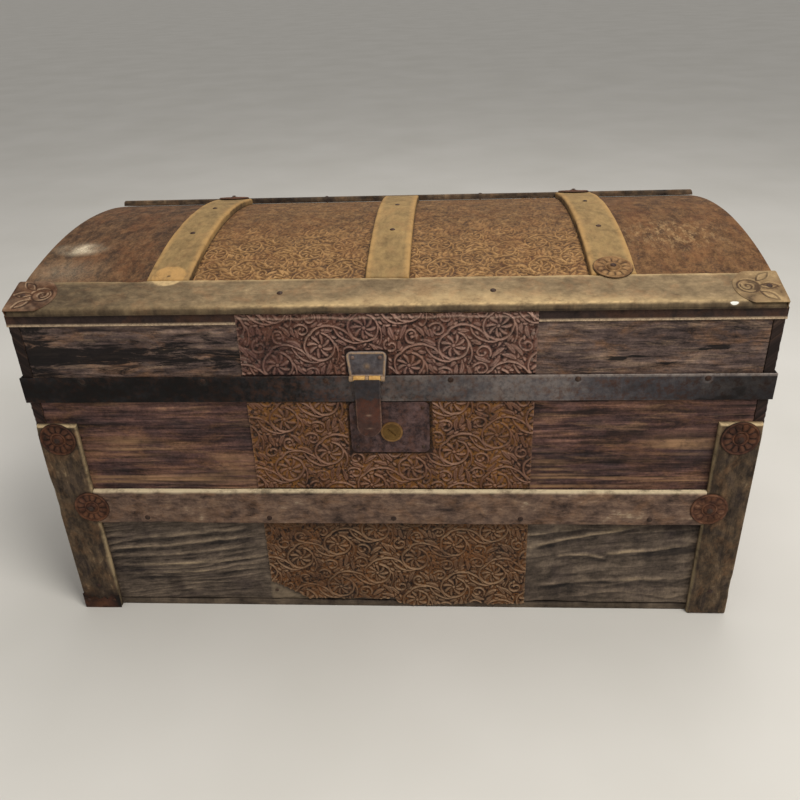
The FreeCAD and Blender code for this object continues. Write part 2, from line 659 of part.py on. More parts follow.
def hasp_plate_knuckles():
    """Sideways spans of the plate's knuckles: one at each side and a narrow one in the middle."""
    inner = HASP_TONGUE_HALF_WIDTH + HASP_SIDE_GAP
    return [(-HASP_OUTER_HALF_WIDTH, -inner), (-HASP_CENTRE_HALF_WIDTH, HASP_CENTRE_HALF_WIDTH),
            (inner, HASP_OUTER_HALF_WIDTH)]


def hasp_tongue_knuckles():
    inner = HASP_CENTRE_HALF_WIDTH + HASP_SIDE_GAP
    return [(-HASP_TONGUE_HALF_WIDTH, -inner), (inner, HASP_TONGUE_HALF_WIDTH)]


def hasp_plate():
    low = BAND_TOP + HASP_BAND_GAP
    top = BAND_TOP + HASP_PLATE_HEIGHT
    half_top = HASP_PLATE_TOP_WIDTH / 2
    y = TIN_FACE - HASP_PLATE_THICKNESS
    outline = [(-HASP_OUTER_HALF_WIDTH, low), (HASP_OUTER_HALF_WIDTH, low), (half_top, top - HASP_PLATE_CORNER),
               (half_top - HASP_PLATE_CORNER, top), (HASP_PLATE_CORNER - half_top, top),
               (-half_top, top - HASP_PLATE_CORNER)]
    plate = prism([Vec(HASP_X + x, y, z) for x, z in outline], Vec(0, HASP_PLATE_THICKNESS, 0))
    bore = rod(HASP_PIN_RADIUS, HASP_X - HASP_OUTER_HALF_WIDTH, HASP_X + HASP_OUTER_HALF_WIDTH,
               HASP_AXIS_Y, HASP_AXIS_Z)
    pieces = []
    for x0, x1 in hasp_plate_knuckles():
        pieces.append(rod(HASP_KNUCKLE_RADIUS, HASP_X + x0, HASP_X + x1, HASP_AXIS_Y, HASP_AXIS_Z))
        pieces.append(block(HASP_X + x0, HASP_X + x1, HASP_AXIS_Y, TIN_FACE, low,
                            HASP_AXIS_Z + HASP_KNUCKLE_RADIUS))
    return plate.multiFuse(pieces).cut(bore).removeSplitter().Solids[0]


def hasp_pin():
    return rod(HASP_PIN_RADIUS, HASP_X - HASP_OUTER_HALF_WIDTH, HASP_X + HASP_OUTER_HALF_WIDTH,
               HASP_AXIS_Y, HASP_AXIS_Z)


def hasp_tongue():
    """Hangs from the pin over the band and the lock plate, with a rounded lower end."""
    back = LOCK_FACE - TONGUE_GAP
    half = TONGUE_WIDTH / 2
    top = HASP_AXIS_Z - HASP_KNUCKLE_RADIUS - HASP_BAND_GAP
    tip = HASP_AXIS_Z - TONGUE_LENGTH
    turn = tip + half
    shoulder = HASP_AXIS_Z - TONGUE_SHOULDER

    def at(x, z):
        return Vec(HASP_X + x, back - TONGUE_THICKNESS, z)
    corners = [at(half, turn), at(half, shoulder), at(HASP_TONGUE_HALF_WIDTH, top),
               at(-HASP_TONGUE_HALF_WIDTH, top), at(-half, shoulder), at(-half, turn)]
    edges = [Part.LineSegment(a, b).toShape() for a, b in zip(corners, corners[1:])]
    edges.append(Part.Arc(corners[-1], at(0, tip), corners[0]).toShape())
    blade = Part.Face(Part.Wire(edges)).extrude(Vec(0, TONGUE_THICKNESS, 0))
    bore = rod(HASP_PIN_RADIUS + HASP_PIN_PLAY, HASP_X - HASP_OUTER_HALF_WIDTH, HASP_X + HASP_OUTER_HALF_WIDTH,
               HASP_AXIS_Y, HASP_AXIS_Z)
    pieces = []
    for x0, x1 in hasp_tongue_knuckles():
        pieces.append(rod(HASP_KNUCKLE_RADIUS, HASP_X + x0, HASP_X + x1, HASP_AXIS_Y, HASP_AXIS_Z))
        pieces.append(block(HASP_X + x0, HASP_X + x1, back - TONGUE_THICKNESS, back, top, HASP_AXIS_Z))
    return blade.multiFuse(pieces).cut(bore).removeSplitter().Solids[0]


def hasp_staple():
    """An eye on the back of the tongue, for the bolt."""
    back = LOCK_FACE - TONGUE_GAP
    half = STAPLE_THICKNESS / 2
    plate = block(HASP_X - half, HASP_X + half, back, STAPLE_END, STAPLE_BOTTOM, STAPLE_BOTTOM + STAPLE_HEIGHT)
    half_y = BOLT_THICKNESS / 2 + STAPLE_EYE_GAP
    half_z = BOLT_HEIGHT / 2 + STAPLE_EYE_GAP
    eye = block(HASP_X - half, HASP_X + half, BOLT_MIDDLE - half_y, BOLT_MIDDLE + half_y,
                STAPLE_MIDDLE - half_z, STAPLE_MIDDLE + half_z)
    return plate.cut(eye).Solids[0]


# Rear hinges

def hinge_spans():
    """Sideways spans of the box leaf's two outer knuckles and of the lid leaf's middle one."""
    third = HINGE_WIDTH / 3
    half = HINGE_WIDTH / 2
    outer = [(-half, -third / 2 - HINGE_SIDE_GAP), (third / 2 + HINGE_SIDE_GAP, half)]
    return outer, [(-third / 2, third / 2)]


def hinge_leaf(x, spans, up, bore_radius):
    """A leaf on the back wall, above the pin for up 1 and below it for up -1."""
    half = HINGE_WIDTH / 2
    near = HINGE_AXIS_Z + up * (HINGE_KNUCKLE_RADIUS + HINGE_TURN_GAP)
    far = near + up * HINGE_LEAF_HEIGHT
    z0, z1 = sorted((near, far))
    leaf = block(x - half, x + half, BACK, BACK + HINGE_LEAF_THICKNESS, z0, z1)
    pieces = []
    for s0, s1 in spans:
        z0, z1 = sorted((HINGE_AXIS_Z, near))
        pieces.append(rod(HINGE_KNUCKLE_RADIUS, x + s0, x + s1, HINGE_AXIS_Y, HINGE_AXIS_Z))
        pieces.append(block(x + s0, x + s1, BACK, BACK + HINGE_LEAF_THICKNESS, z0, z1))
    bore = rod(bore_radius, x - half, x + half, HINGE_AXIS_Y, HINGE_AXIS_Z)
    return leaf.multiFuse(pieces).cut(bore).removeSplitter().Solids[0]


def hinge_box_leaves():
    outer, _ = hinge_spans()
    return group(hinge_leaf(side * HINGE_X, outer, -1, HINGE_PIN_RADIUS) for side in SIDES)


def hinge_lid_leaves():
    _, middle = hinge_spans()
    return group(hinge_leaf(side * HINGE_X, middle, 1, HINGE_PIN_RADIUS + HINGE_PIN_PLAY) for side in SIDES)


def hinge_pins():
    half = HINGE_WIDTH / 2
    return group(rod(HINGE_PIN_RADIUS, side * HINGE_X - half, side * HINGE_X + half, HINGE_AXIS_Y, HINGE_AXIS_Z)
                 for side in SIDES)


def hinge_nail_places(up):
    middle = HINGE_AXIS_Z + up * (HINGE_KNUCKLE_RADIUS + HINGE_TURN_GAP + HINGE_LEAF_HEIGHT / 2)
    step = HINGE_LEAF_HEIGHT / 2 - HINGE_NAIL_EDGE
    spots = [(-1, -1), (1, -1), (-1, 1), (1, 1)]
    reach = HINGE_WIDTH / 2 - HINGE_NAIL_EDGE
    return [(side * HINGE_X + i * reach, BACK + HINGE_LEAF_THICKNESS, middle + k * step)
            for side in SIDES for i, k in spots]


# Leather handles

def right_handle_strap():
    """A bowed leather strap with a flat tab at each end."""
    wall = HALF_WIDTH + STRAP_FIT_GAP
    end = STRAP_BOW_HALF_LENGTH + STRAP_TAB_LENGTH
    z = HANDLE_HEIGHT - STRAP_WIDTH / 2

    def at(x, y):
        return Vec(wall + x, y, z)
    bow = STRAP_BOW_HALF_LENGTH
    thick = STRAP_THICKNESS
    edges = [
        Part.LineSegment(at(0, -end), at(0, -bow)).toShape(),
        Part.Arc(at(0, -bow), at(STRAP_BOW, 0), at(0, bow)).toShape(),
        Part.LineSegment(at(0, bow), at(0, end)).toShape(),
        Part.LineSegment(at(0, end), at(thick, end)).toShape(),
        Part.LineSegment(at(thick, end), at(thick, bow)).toShape(),
        Part.Arc(at(thick, bow), at(thick + STRAP_BOW, 0), at(thick, -bow)).toShape(),
        Part.LineSegment(at(thick, -bow), at(thick, -end)).toShape(),
        Part.LineSegment(at(thick, -end), at(0, -end)).toShape(),
    ]
    return Part.Face(Part.Wire(edges)).extrude(Vec(0, 0, STRAP_WIDTH))


def handle_cap_start():
    return STRAP_BOW_HALF_LENGTH + STRAP_FIT_GAP


def right_handle_caps():
    """Pressed caps over the strap's tabs, each with a nailing flange above and below."""
    depth = STRAP_THICKNESS + 2 * STRAP_FIT_GAP
    half = STRAP_WIDTH / 2 + STRAP_FIT_GAP
    tall = half + HANDLE_CAP_WALL
    caps = []
    for side in SIDES:
        y0, y1 = sorted((side * handle_cap_start(), side * (handle_cap_start() + HANDLE_CAP_LENGTH)))
        strap_end = STRAP_BOW_HALF_LENGTH + STRAP_TAB_LENGTH + STRAP_FIT_GAP
        p0, p1 = sorted((side * handle_cap_start(), side * strap_end))
        plate = block(HALF_WIDTH, HALF_WIDTH + HANDLE_CAP_WALL, y0, y1, HANDLE_HEIGHT - HANDLE_CAP_HALF_HEIGHT,
                      HANDLE_HEIGHT + HANDLE_CAP_HALF_HEIGHT)
        loop = block(HALF_WIDTH, HALF_WIDTH + depth + HANDLE_CAP_WALL, y0, y1, HANDLE_HEIGHT - tall,
                     HANDLE_HEIGHT + tall)
        room = block(HALF_WIDTH, HALF_WIDTH + depth, p0, p1, HANDLE_HEIGHT - half, HANDLE_HEIGHT + half)
        caps.append(plate.fuse(loop).cut(room).removeSplitter().Solids[0])
    return group(caps)


def handle_nail_places():
    """Height and depth of the nails in one end's cap flanges."""
    rise = HANDLE_CAP_HALF_HEIGHT - HANDLE_CAP_FLANGE / 2
    first = handle_cap_start() + HANDLE_NAIL_EDGE
    last = handle_cap_start() + HANDLE_CAP_LENGTH - HANDLE_NAIL_EDGE
    return [(side * y, HANDLE_HEIGHT + k * rise) for side in SIDES for y in (first, last) for k in SIDES]


# Nails and tacks

def row(count, reach):
    """Places along a row that ends this far on either side of its middle."""
    return spread(count, 2 * reach / (count - 1))


def box_nails():
    nails = [on_front(nail(), x, y - ROSETTE_BOSS_HEIGHT, z) for x, y, z in box_rosette_places()]
    nail_height = WALL_SLAT_HEIGHT - WALL_SLAT_WIDTH / 2 + SLAT_NAIL_EDGE
    for x in row(SLAT_NAIL_COUNT, BATTEN_INNER - SLAT_NAIL_END_MARGIN):
        nails.append(on_front(nail(), x, -WALL_SLAT_FACE, nail_height))
        nails.append(on_back(nail(), x, WALL_SLAT_FACE, nail_height))
    batten_middle = (BATTEN_INNER + BATTEN_OUTER) / 2
    for side in SIDES:
        nails.append(on_front(nail(), side * batten_middle, -BATTEN_FACE, BATTEN_NAIL_HEIGHT))
        for z in (BATTEN_NAIL_HEIGHT, BATTEN_HEIGHT - BATTEN_ROSETTE_DROP):
            nails.append(on_back(nail(), side * batten_middle, BATTEN_FACE, z))
        for y in row(END_SLAT_NAIL_COUNT, END_SLAT_HALF_LENGTH - SLAT_NAIL_EDGE):
            nails.append(on_end(nail(), side, HALF_WIDTH + SLAT_THICKNESS, y, WALL_SLAT_HEIGHT))
        for y, z in handle_nail_places():
            nails.append(on_end(nail(), side, HALF_WIDTH + HANDLE_CAP_WALL, y, z))
    nails.extend(on_back(tack(), *place) for place in hinge_nail_places(-1))
    return group(nails)


def lid_nails():
    boss_top = EDGE_SLAT_CORNER_RADIUS + ROSETTE_BOSS_HEIGHT
    nails = [on_dome(nail(), x, boss_top, angle) for x, angle in lid_rosette_places()]
    nail_height = BAND_TOP - BAND_NAIL_EDGE
    for x in row(BAND_NAIL_COUNT, HALF_WIDTH - BAND_NAIL_END_MARGIN):
        nails.append(on_front(nail(), x, BAND_FACE, nail_height))
    for side in SIDES:
        for y in row(END_BAND_NAIL_COUNT, BACK - END_BAND_NAIL_END_MARGIN):
            nails.append(on_end(nail(), side, HALF_WIDTH + BAND_CLEARANCE + BAND_THICKNESS, y, nail_height))
        for angle in (FRONT_SLAT_ANGLE, REAR_SLAT_ANGLE):
            nails.append(on_dome(nail(), side * EDGE_SLAT_NAIL_X, SLAT_TOP_RADIUS, angle))
        cap_x = HALF_WIDTH - FRONT_EDGE_SLAT_SETBACK - CAP_NAIL_INSET
        nails.append(on_dome(nail(), side * cap_x, SLAT_TOP_RADIUS + CAP_THICKNESS, FRONT_SLAT_ANGLE))
    crown = (CROSS_START_ANGLE + CROSS_END_ANGLE) / 2
    for x in (-CROSS_SLAT_SPACING, 0, CROSS_SLAT_SPACING):
        for arc in spread(CROSS_SLAT_NAIL_COUNT, CROSS_SLAT_NAIL_PITCH):
            nails.append(on_dome(nail(), x, SLAT_TOP_RADIUS, crown + arc / SLAT_TOP_RADIUS))
    nails.extend(on_back(tack(), *place) for place in hinge_nail_places(1))
    return group(nails)


def edge_tacks(z0, z1):
    """Tacks down both upright edges of a front sheet."""
    count = int((z1 - z0) // TACK_PITCH) + 1
    middle = (z0 + z1) / 2
    reach = TIN_PANEL_WIDTH / 2 - TACK_EDGE
    return [on_front(tack(), side * reach, TIN_FACE, middle + z)
            for side in SIDES for z in spread(count, TACK_PITCH)]


def box_tacks():
    slat_low = WALL_SLAT_HEIGHT - WALL_SLAT_WIDTH / 2
    slat_top = WALL_SLAT_HEIGHT + WALL_SLAT_WIDTH / 2
    tacks = edge_tacks(TIN_FLOOR_GAP + TACK_EDGE, slat_low - TACK_EDGE)
    tacks.extend(edge_tacks(slat_top + TACK_EDGE, BAND_BOTTOM - TACK_EDGE))
    for side in SIDES:
        for z in (LOCK_TOP - LOCK_TACK_INSET, LOCK_TOP - LOCK_HEIGHT + LOCK_TACK_INSET):
            tacks.append(on_front(tack(), side * (LOCK_WIDTH / 2 - LOCK_TACK_INSET), LOCK_FACE, z))
        shoe_x = -(BATTEN_INNER + BATTEN_OUTER) / 2 + side * (BATTEN_WIDTH / 2 - LOCK_TACK_INSET)
        tacks.append(on_front(tack(), shoe_x, -BATTEN_FACE - SHOE_THICKNESS, SHOE_HEIGHT / 2))
    return group(tacks)


def lid_tacks():
    tacks = edge_tacks(BAND_TOP + TACK_EDGE, TIN_EAVE - TIN_TOP_GAP - HEM_HEIGHT)
    height = BAND_TOP + HASP_PLATE_HEIGHT - HASP_TACK_INSET
    for side in SIDES:
        x = HASP_X + side * (HASP_PLATE_TOP_WIDTH / 2 - HASP_TACK_INSET)
        tacks.append(on_front(tack(), x, TIN_FACE - HASP_PLATE_THICKNESS, height))
    return group(tacks)


def all_parts():
    front_lower_plank, front_upper_plank = front_planks()
    parts = {
        "bottom_planks": bottom_planks(),
        "front_lower_plank": front_lower_plank,
        "front_upper_plank": front_upper_plank,
        "back_planks": back_planks(),
        "right_end_planks": right_end_planks(),
        "front_lower_tin": front_lower_tin(),
        "front_upper_tin": front_upper_tin(),
        "front_right_batten": upright_batten(-1),
        "back_battens": group([upright_batten(1), mirrored(upright_batten(1))]),
        "front_slat": lengthwise_slat(-1),
        "back_slat": lengthwise_slat(1),
        "right_end_slat": right_end_slat(),
        "left_batten_shoe": left_batten_shoe(),
        "box_rosettes": box_rosettes(),
        "box_nails": box_nails(),
        "box_tacks": box_tacks(),
        "lock_plate": lock_plate(),
        "lock_case": lock_case(),
        "lock_bolt": lock_bolt(),
        "keyhole_bezel": keyhole_bezel(),
        "key_plug": key_plug(),
        "hinge_box_leaves": hinge_box_leaves(),
        "hinge_pins": hinge_pins(),
        "hinge_lid_leaves": hinge_lid_leaves(),
        "right_handle_strap": right_handle_strap(),
        "right_handle_caps": right_handle_caps(),
        "lid_front_board": lid_long_board(FRONT),
        "lid_back_board": lid_long_board(BACK - BOARD_THICKNESS),
        "lid_right_end": lid_right_end(),
        "dome_staves": dome_staves(),
        "dome_tin_middle": dome_tin_middle(),
        "dome_tin_right": dome_tin_right(),
        "lid_front_tin": lid_front_tin(),
        "lid_front_slat": edge_slat(HALF_WIDTH - FRONT_EDGE_SLAT_SETBACK, FRONT_SLAT_ANGLE),
        "lid_rear_slat": edge_slat(HALF_WIDTH, REAR_SLAT_ANGLE),
        "cross_slat_middle": cross_slat(0),
        "cross_slat_right": cross_slat(CROSS_SLAT_SPACING),
        "corner_cap_right": right_corner_cap(),
        "lid_rosettes": lid_rosettes(),
        "lid_band_front": lid_band_front(),
        "lid_band_right": lid_band_right(),
        "lid_nails": lid_nails(),
        "lid_tacks": lid_tacks(),
        "hasp_plate": hasp_plate(),
        "hasp_pin": hasp_pin(),
        "hasp_tongue": hasp_tongue(),
        "hasp_staple": hasp_staple(),
    }
    for name in [name for name in parts if "right" in name]:
        parts[name.replace("right", "left")] = mirrored(parts[name])
    return parts


os.makedirs("parts", exist_ok=True)
for node, shape in all_parts().items():
    shape.exportStep(f"parts/{node}.step")
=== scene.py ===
"""An old low domed trunk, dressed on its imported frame: weathered boards, pressed tin, iron and leather.

Metres, in the frame's own axes: +X to the right, +Y to the back, +Z up.
"""

import functools
import math

import bmesh
import bpy
import numpy as np
from mathutils import Matrix, Vector


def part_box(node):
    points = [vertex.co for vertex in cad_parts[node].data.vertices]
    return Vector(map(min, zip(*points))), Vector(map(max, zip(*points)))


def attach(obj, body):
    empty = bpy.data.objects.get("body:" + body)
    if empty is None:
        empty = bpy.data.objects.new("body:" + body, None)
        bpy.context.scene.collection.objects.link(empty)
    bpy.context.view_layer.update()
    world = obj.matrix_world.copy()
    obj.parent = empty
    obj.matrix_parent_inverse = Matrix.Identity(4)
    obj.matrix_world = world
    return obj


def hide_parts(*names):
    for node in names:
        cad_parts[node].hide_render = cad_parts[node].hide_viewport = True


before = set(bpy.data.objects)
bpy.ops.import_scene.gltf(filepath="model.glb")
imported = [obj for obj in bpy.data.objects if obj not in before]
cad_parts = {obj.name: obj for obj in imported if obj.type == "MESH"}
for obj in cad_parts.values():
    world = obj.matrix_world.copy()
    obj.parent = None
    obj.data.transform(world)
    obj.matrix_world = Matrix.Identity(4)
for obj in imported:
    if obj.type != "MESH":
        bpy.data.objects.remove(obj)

MM = 0.001
FULL_TURN = 2 * math.pi
SIDES = ((1, "right"), (-1, "left"))
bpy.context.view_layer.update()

# Dome of the lid, as in the frame
HALF_WIDTH = 406.5 * MM
HALF_DEPTH = 217.0 * MM
EAVE = 395.5 * MM
DOME_RISE = 35.1 * MM
STAVE_THICKNESS = 6.0 * MM
TIN_THICKNESS = 0.8 * MM
SLAT_SEAT = 0.05 * MM
SLAT_THICKNESS = 7.5 * MM
SLAT_GAP = 0.3 * MM
DOME_INNER_RADIUS = HALF_DEPTH ** 2 / (2 * DOME_RISE) + DOME_RISE / 2
DOME_AXIS = EAVE + DOME_RISE - DOME_INNER_RADIUS
TIN_BACK_RADIUS = DOME_INNER_RADIUS + STAVE_THICKNESS
TIN_RADIUS = TIN_BACK_RADIUS + TIN_THICKNESS
SLAT_BASE_RADIUS = TIN_RADIUS + SLAT_SEAT
SLAT_TOP_RADIUS = SLAT_BASE_RADIUS + SLAT_THICKNESS
EDGE_SLAT_WIDTH = 52.0 * MM
EDGE_SLAT_HALF = EDGE_SLAT_WIDTH / 2
EDGE_SLAT_REACH = math.atan(EDGE_SLAT_HALF / SLAT_BASE_RADIUS) + SLAT_GAP / SLAT_BASE_RADIUS
FRONT_SLAT_ANGLE = math.asin((-HALF_DEPTH + 22.0 * MM) / SLAT_BASE_RADIUS)
REAR_SLAT_ANGLE = math.asin((HALF_DEPTH - 36.0 * MM) / SLAT_BASE_RADIUS)
CROSS_SLAT_SPACING = 240.0 * MM
CROSS_SLAT_WIDTH = 48.0 * MM
HEM_HEIGHT = 13.0 * MM
TIN_EAVE = DOME_AXIS + math.sqrt(TIN_RADIUS ** 2 - HALF_DEPTH ** 2)
LID_BOARD_TOP = EAVE - 0.2 * MM

# Camera of the photograph
PHOTO_WIDTH_PX = 800.0
FOCAL_PX = 802.0
SENSOR_MM = 36.0
CAMERA_AT = (66.4 * MM, -986.0 * MM, 716.7 * MM)
CAMERA_PITCH = math.radians(28.488)
CAMERA_YAW = math.radians(-4.033)
CAMERA_ROLL = math.radians(-2.201)


# Curves, and smooth repeatable noise

def unit(value):
    """Kept between 0 and 1."""
    return np.clip(value, 0, 1)


def most(*values):
    """The largest of several values, point by point."""
    return functools.reduce(np.maximum, values)


def least(*values):
    """The smallest of several values, point by point."""
    return functools.reduce(np.minimum, values)


def smooth(share):
    """A rise from 0 to 1 that is level at both ends."""
    return share * share * (3 - 2 * share)


def fade(distance, width):
    """0 up to a line, then smoothly to 1 over a width past it."""
    return smooth(unit(distance / width))


def bell(distance, width):
    """1 at no distance, falling away to both sides over a width."""
    return np.exp(-(distance / width) ** 2)


def spot(u, v, at, up, wide, tall):
    """A soft oval, 1 in its middle. Its place and its half sizes are in millimetres."""
    return bell(u / MM - at, wide) * bell(v / MM - up, tall)


def blend(number_at, x, y, ease):
    """Values between numbers that are known at whole-numbered points."""
    ix = np.floor(x).astype(np.int64)
    iy = np.floor(y).astype(np.int64)
    sx = ease(x - ix)
    sy = ease(y - iy)
    low = number_at(ix, iy) * (1 - sx) + number_at(ix + 1, iy) * sx
    high = number_at(ix, iy + 1) * (1 - sx) + number_at(ix + 1, iy + 1) * sx
    return low * (1 - sy) + high * sy


def lattice(ix, iy, seed):
    """A repeatable number from -1 to 1 for each whole-numbered point."""
    n = (ix * 374761393 + iy * 668265263 + seed * 1274126177) & 0xFFFFFFFF
    n = ((n ^ (n >> 13)) * 1103515245) & 0xFFFFFFFF
    n = ((n ^ (n >> 15)) * 2246822519) & 0xFFFFFFFF
    return ((n ^ (n >> 16)) & 0xFFFF) / 32767.5 - 1.0


def noise(x, y, seed):
    x, y = np.broadcast_arrays(np.asarray(x, float), np.asarray(y, float))
    return blend(lambda ix, iy: lattice(ix, iy, seed), x, y, smooth)


def rough(x, y, seed, octaves=3):
    """Noise with finer noise added to it."""
    total = 0.0
    for k in range(octaves):
        total = total + noise(x * 2 ** k, y * 2 ** k, seed + 17 * k) * 0.5 ** k
    return total


def patchy(u, v, waves_u, waves_v, seed, base, swing, low=0.0, high=1.0):
    """A base that swings with rough noise, so many waves to the metre, kept between two limits."""
    return np.clip(base + swing * rough(u * waves_u, v * waves_v, seed), low, high)


# Meshes: each part is its points, its faces and the marks that its materials read at the points

# Relief, then paler marks (rubbing and painted highlights), then darker marks (dirt and painted shade), then
# the grain's run and seed
MARKS = ("relief", "wear", "soil", "along", "across", "seed")


def quads(*corners):
    """Four-sided faces from arrays with the numbers of their corners."""
    return np.stack(corners, -1).reshape(-1, 4).tolist()


def closed_slab(top, bottom):
    """Points, faces and rim of a slab, from (n, m, 3) arrays of its outer points and those under them."""
    n, m = top.shape[:2]
    index = np.arange(n * m).reshape(n, m)
    faces = quads(index[:-1, :-1], index[1:, :-1], index[1:, 1:], index[:-1, 1:])
    rim = np.concatenate([index[:, 0], index[-1, 1:], index[-2::-1, -1], index[0, -2:0:-1]])
    below = n * m + np.arange(len(rim))
    around = np.roll(np.arange(len(rim)), -1)
    faces += quads(rim, below, below[around], rim[around])
    under = {int(r): int(b) for r, b in zip(rim, below)}
    for i in range(n - 1):
        near = index[i] if i == 0 else index[i, [0, -1]]
        far = index[i + 1] if i == n - 2 else index[i + 1, [0, -1]]
        faces.append([under[int(k)] for k in near] + [under[int(k)] for k in far[::-1]])
    points = np.concatenate([top.reshape(-1, 3), bottom.reshape(-1, 3)[rim]])
    return points, faces, rim


def slab(grid_u, grid_v, height, place, under=1.0, **marks):
    """A height field over a grid, closed by its edges and a back.

    Under is how strong the paler marks, rubbing and painted highlights alike, are at the foot of its edges,
    as a share of those above.
    """
    top = place(grid_u, grid_v, height)
    bottom = place(grid_u, grid_v, np.zeros_like(height))
    points, faces, rim = closed_slab(top, bottom)
    kept = {}
    for key, value in marks.items():
        values = np.broadcast_to(value, height.shape).reshape(-1)
        foot = values[rim]
        if key == "wear":
            foot = under * foot
        if key == "across":
            foot = foot + height.reshape(-1)[rim]
        kept[key] = np.concatenate([values, foot])
    return points, faces, kept


def ring_loft(rings, hollow=False, **marks):
    """A tube from its loops of points. Its ends are flat or, if hollow, joined to each other."""
    rings = np.asarray(rings)
    n, m = rings.shape[:2]
    index = np.arange(n * m).reshape(n, m)
    turned = np.roll(index, -1, axis=1)
    faces = quads(index[:-1], index[1:], turned[1:], turned[:-1])
    if hollow:
        faces += quads(index[-1], index[0], turned[0], turned[-1])
    else:
        faces += [index[0].tolist(), index[-1][::-1].tolist()]
    return rings.reshape(-1, 3), faces, {key: np.broadcast_to(value, n * m) for key, value in marks.items()}


def evenly(span, step):
    return np.linspace(*span, int((span[1] - span[0]) / step) + 1)


def spaced(start, end, step, rim):
    """Places from start to end, closer together within rim of either end."""
    count = max(2, int(round((end - start - 2 * rim) / step)) + 1)
    inner = np.linspace(start + rim, end - rim, count)
    near = rim * np.array([0.0, 0.1, 0.35, 0.65])
    return np.concatenate([start + near, inner, (end - near)[::-1]])


def drawn(u, base, reach, share):
    """A grid over the places u: at each of them it runs from a base over shares of a reach."""
    grid_u = np.repeat(u[:, None], len(share), 1)
    return grid_u, np.broadcast_to(base, u.shape)[:, None] + share * reach[:, None]


def rounded(distance, radius):
    """How far a rounded edge has dropped at this distance from its outline."""
    inside = np.clip(radius - distance, 0, radius)
    return radius - np.sqrt(np.maximum(radius ** 2 - inside ** 2, 0))


def add_object(name, data):
    made = bpy.data.objects.new(name, data)
    bpy.context.scene.collection.objects.link(made)
    return made


def dress(node, parts, materials, body, suffix="worn", smooth_angle=40.0):
    """One object from several parts, riding on a body in place of a CAD node.

    A fourth entry in a part is the number of its material.
    """
    points = []
    faces = []
    kinds = []
    marks = {key: [] for key in MARKS}
    offset = 0
    for part_points, part_faces, part_marks, *kind in parts:
        points.append(part_points)
        faces += [[k + offset for k in face] for face in part_faces]
        kinds += (kind or [0]) * len(part_faces)
        for key in MARKS:
            marks[key].append(part_marks.get(key, np.zeros(len(part_points))))
        offset += len(part_points)
    marks = {key: np.concatenate(values).astype(np.float32) for key, values in marks.items()}
    name = f"{node}_{suffix}"
    mesh = bpy.data.meshes.new(name)
    mesh.from_pydata(np.concatenate(points).tolist(), [], faces)
    for key in ("relief", "wear", "soil"):
        mesh.attributes.new(key, "FLOAT", "POINT").data.foreach_set("value", marks[key])
    grain = np.stack([marks[key] for key in ("along", "across", "seed")], -1)
    mesh.attributes.new("grain", "FLOAT_VECTOR", "POINT").data.foreach_set("vector", grain.ravel())
    for material in materials:
        mesh.materials.append(material)
    mesh.polygons.foreach_set("material_index", kinds)
    work = bmesh.new()
    work.from_mesh(mesh)
    bmesh.ops.recalc_face_normals(work, faces=work.faces)
    work.to_mesh(mesh)
    work.free()
    mesh.polygons.foreach_set("use_smooth", [True] * len(mesh.polygons))
    mesh.set_sharp_from_angle(angle=math.radians(smooth_angle))
    made = add_object(name, mesh)
    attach(made, body)
    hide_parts(node)
    return made


# Materials: colours are screen colours, 0 to 255

SOOT = (18, 14, 15)
# Dirt colour of wood, also used for painted shade
WOOD_DIRT_AND_SHADE = (28, 19, 17)
WARM_WOOD = (148, 106, 70)
COOL_WOOD = (58, 48, 49)
WHITE_PAINT = (236, 236, 232)
RUST = (118, 72, 36)
PIT = (20, 14, 14)
# Dirt colours of tin and iron, also used for painted shade
TIN_DIRT_AND_SHADE = (22, 15, 14)
IRON_DIRT_AND_SHADE = (16, 13, 13)


def srgb(red, green, blue):
    """A screen colour as the linear colour that the shader takes."""
    def linear(c):
        c = c / 255
        return c / 12.92 if c <= 0.04045 else ((c + 0.055) / 1.055) ** 2.4
    return (linear(red), linear(green), linear(blue), 1.0)


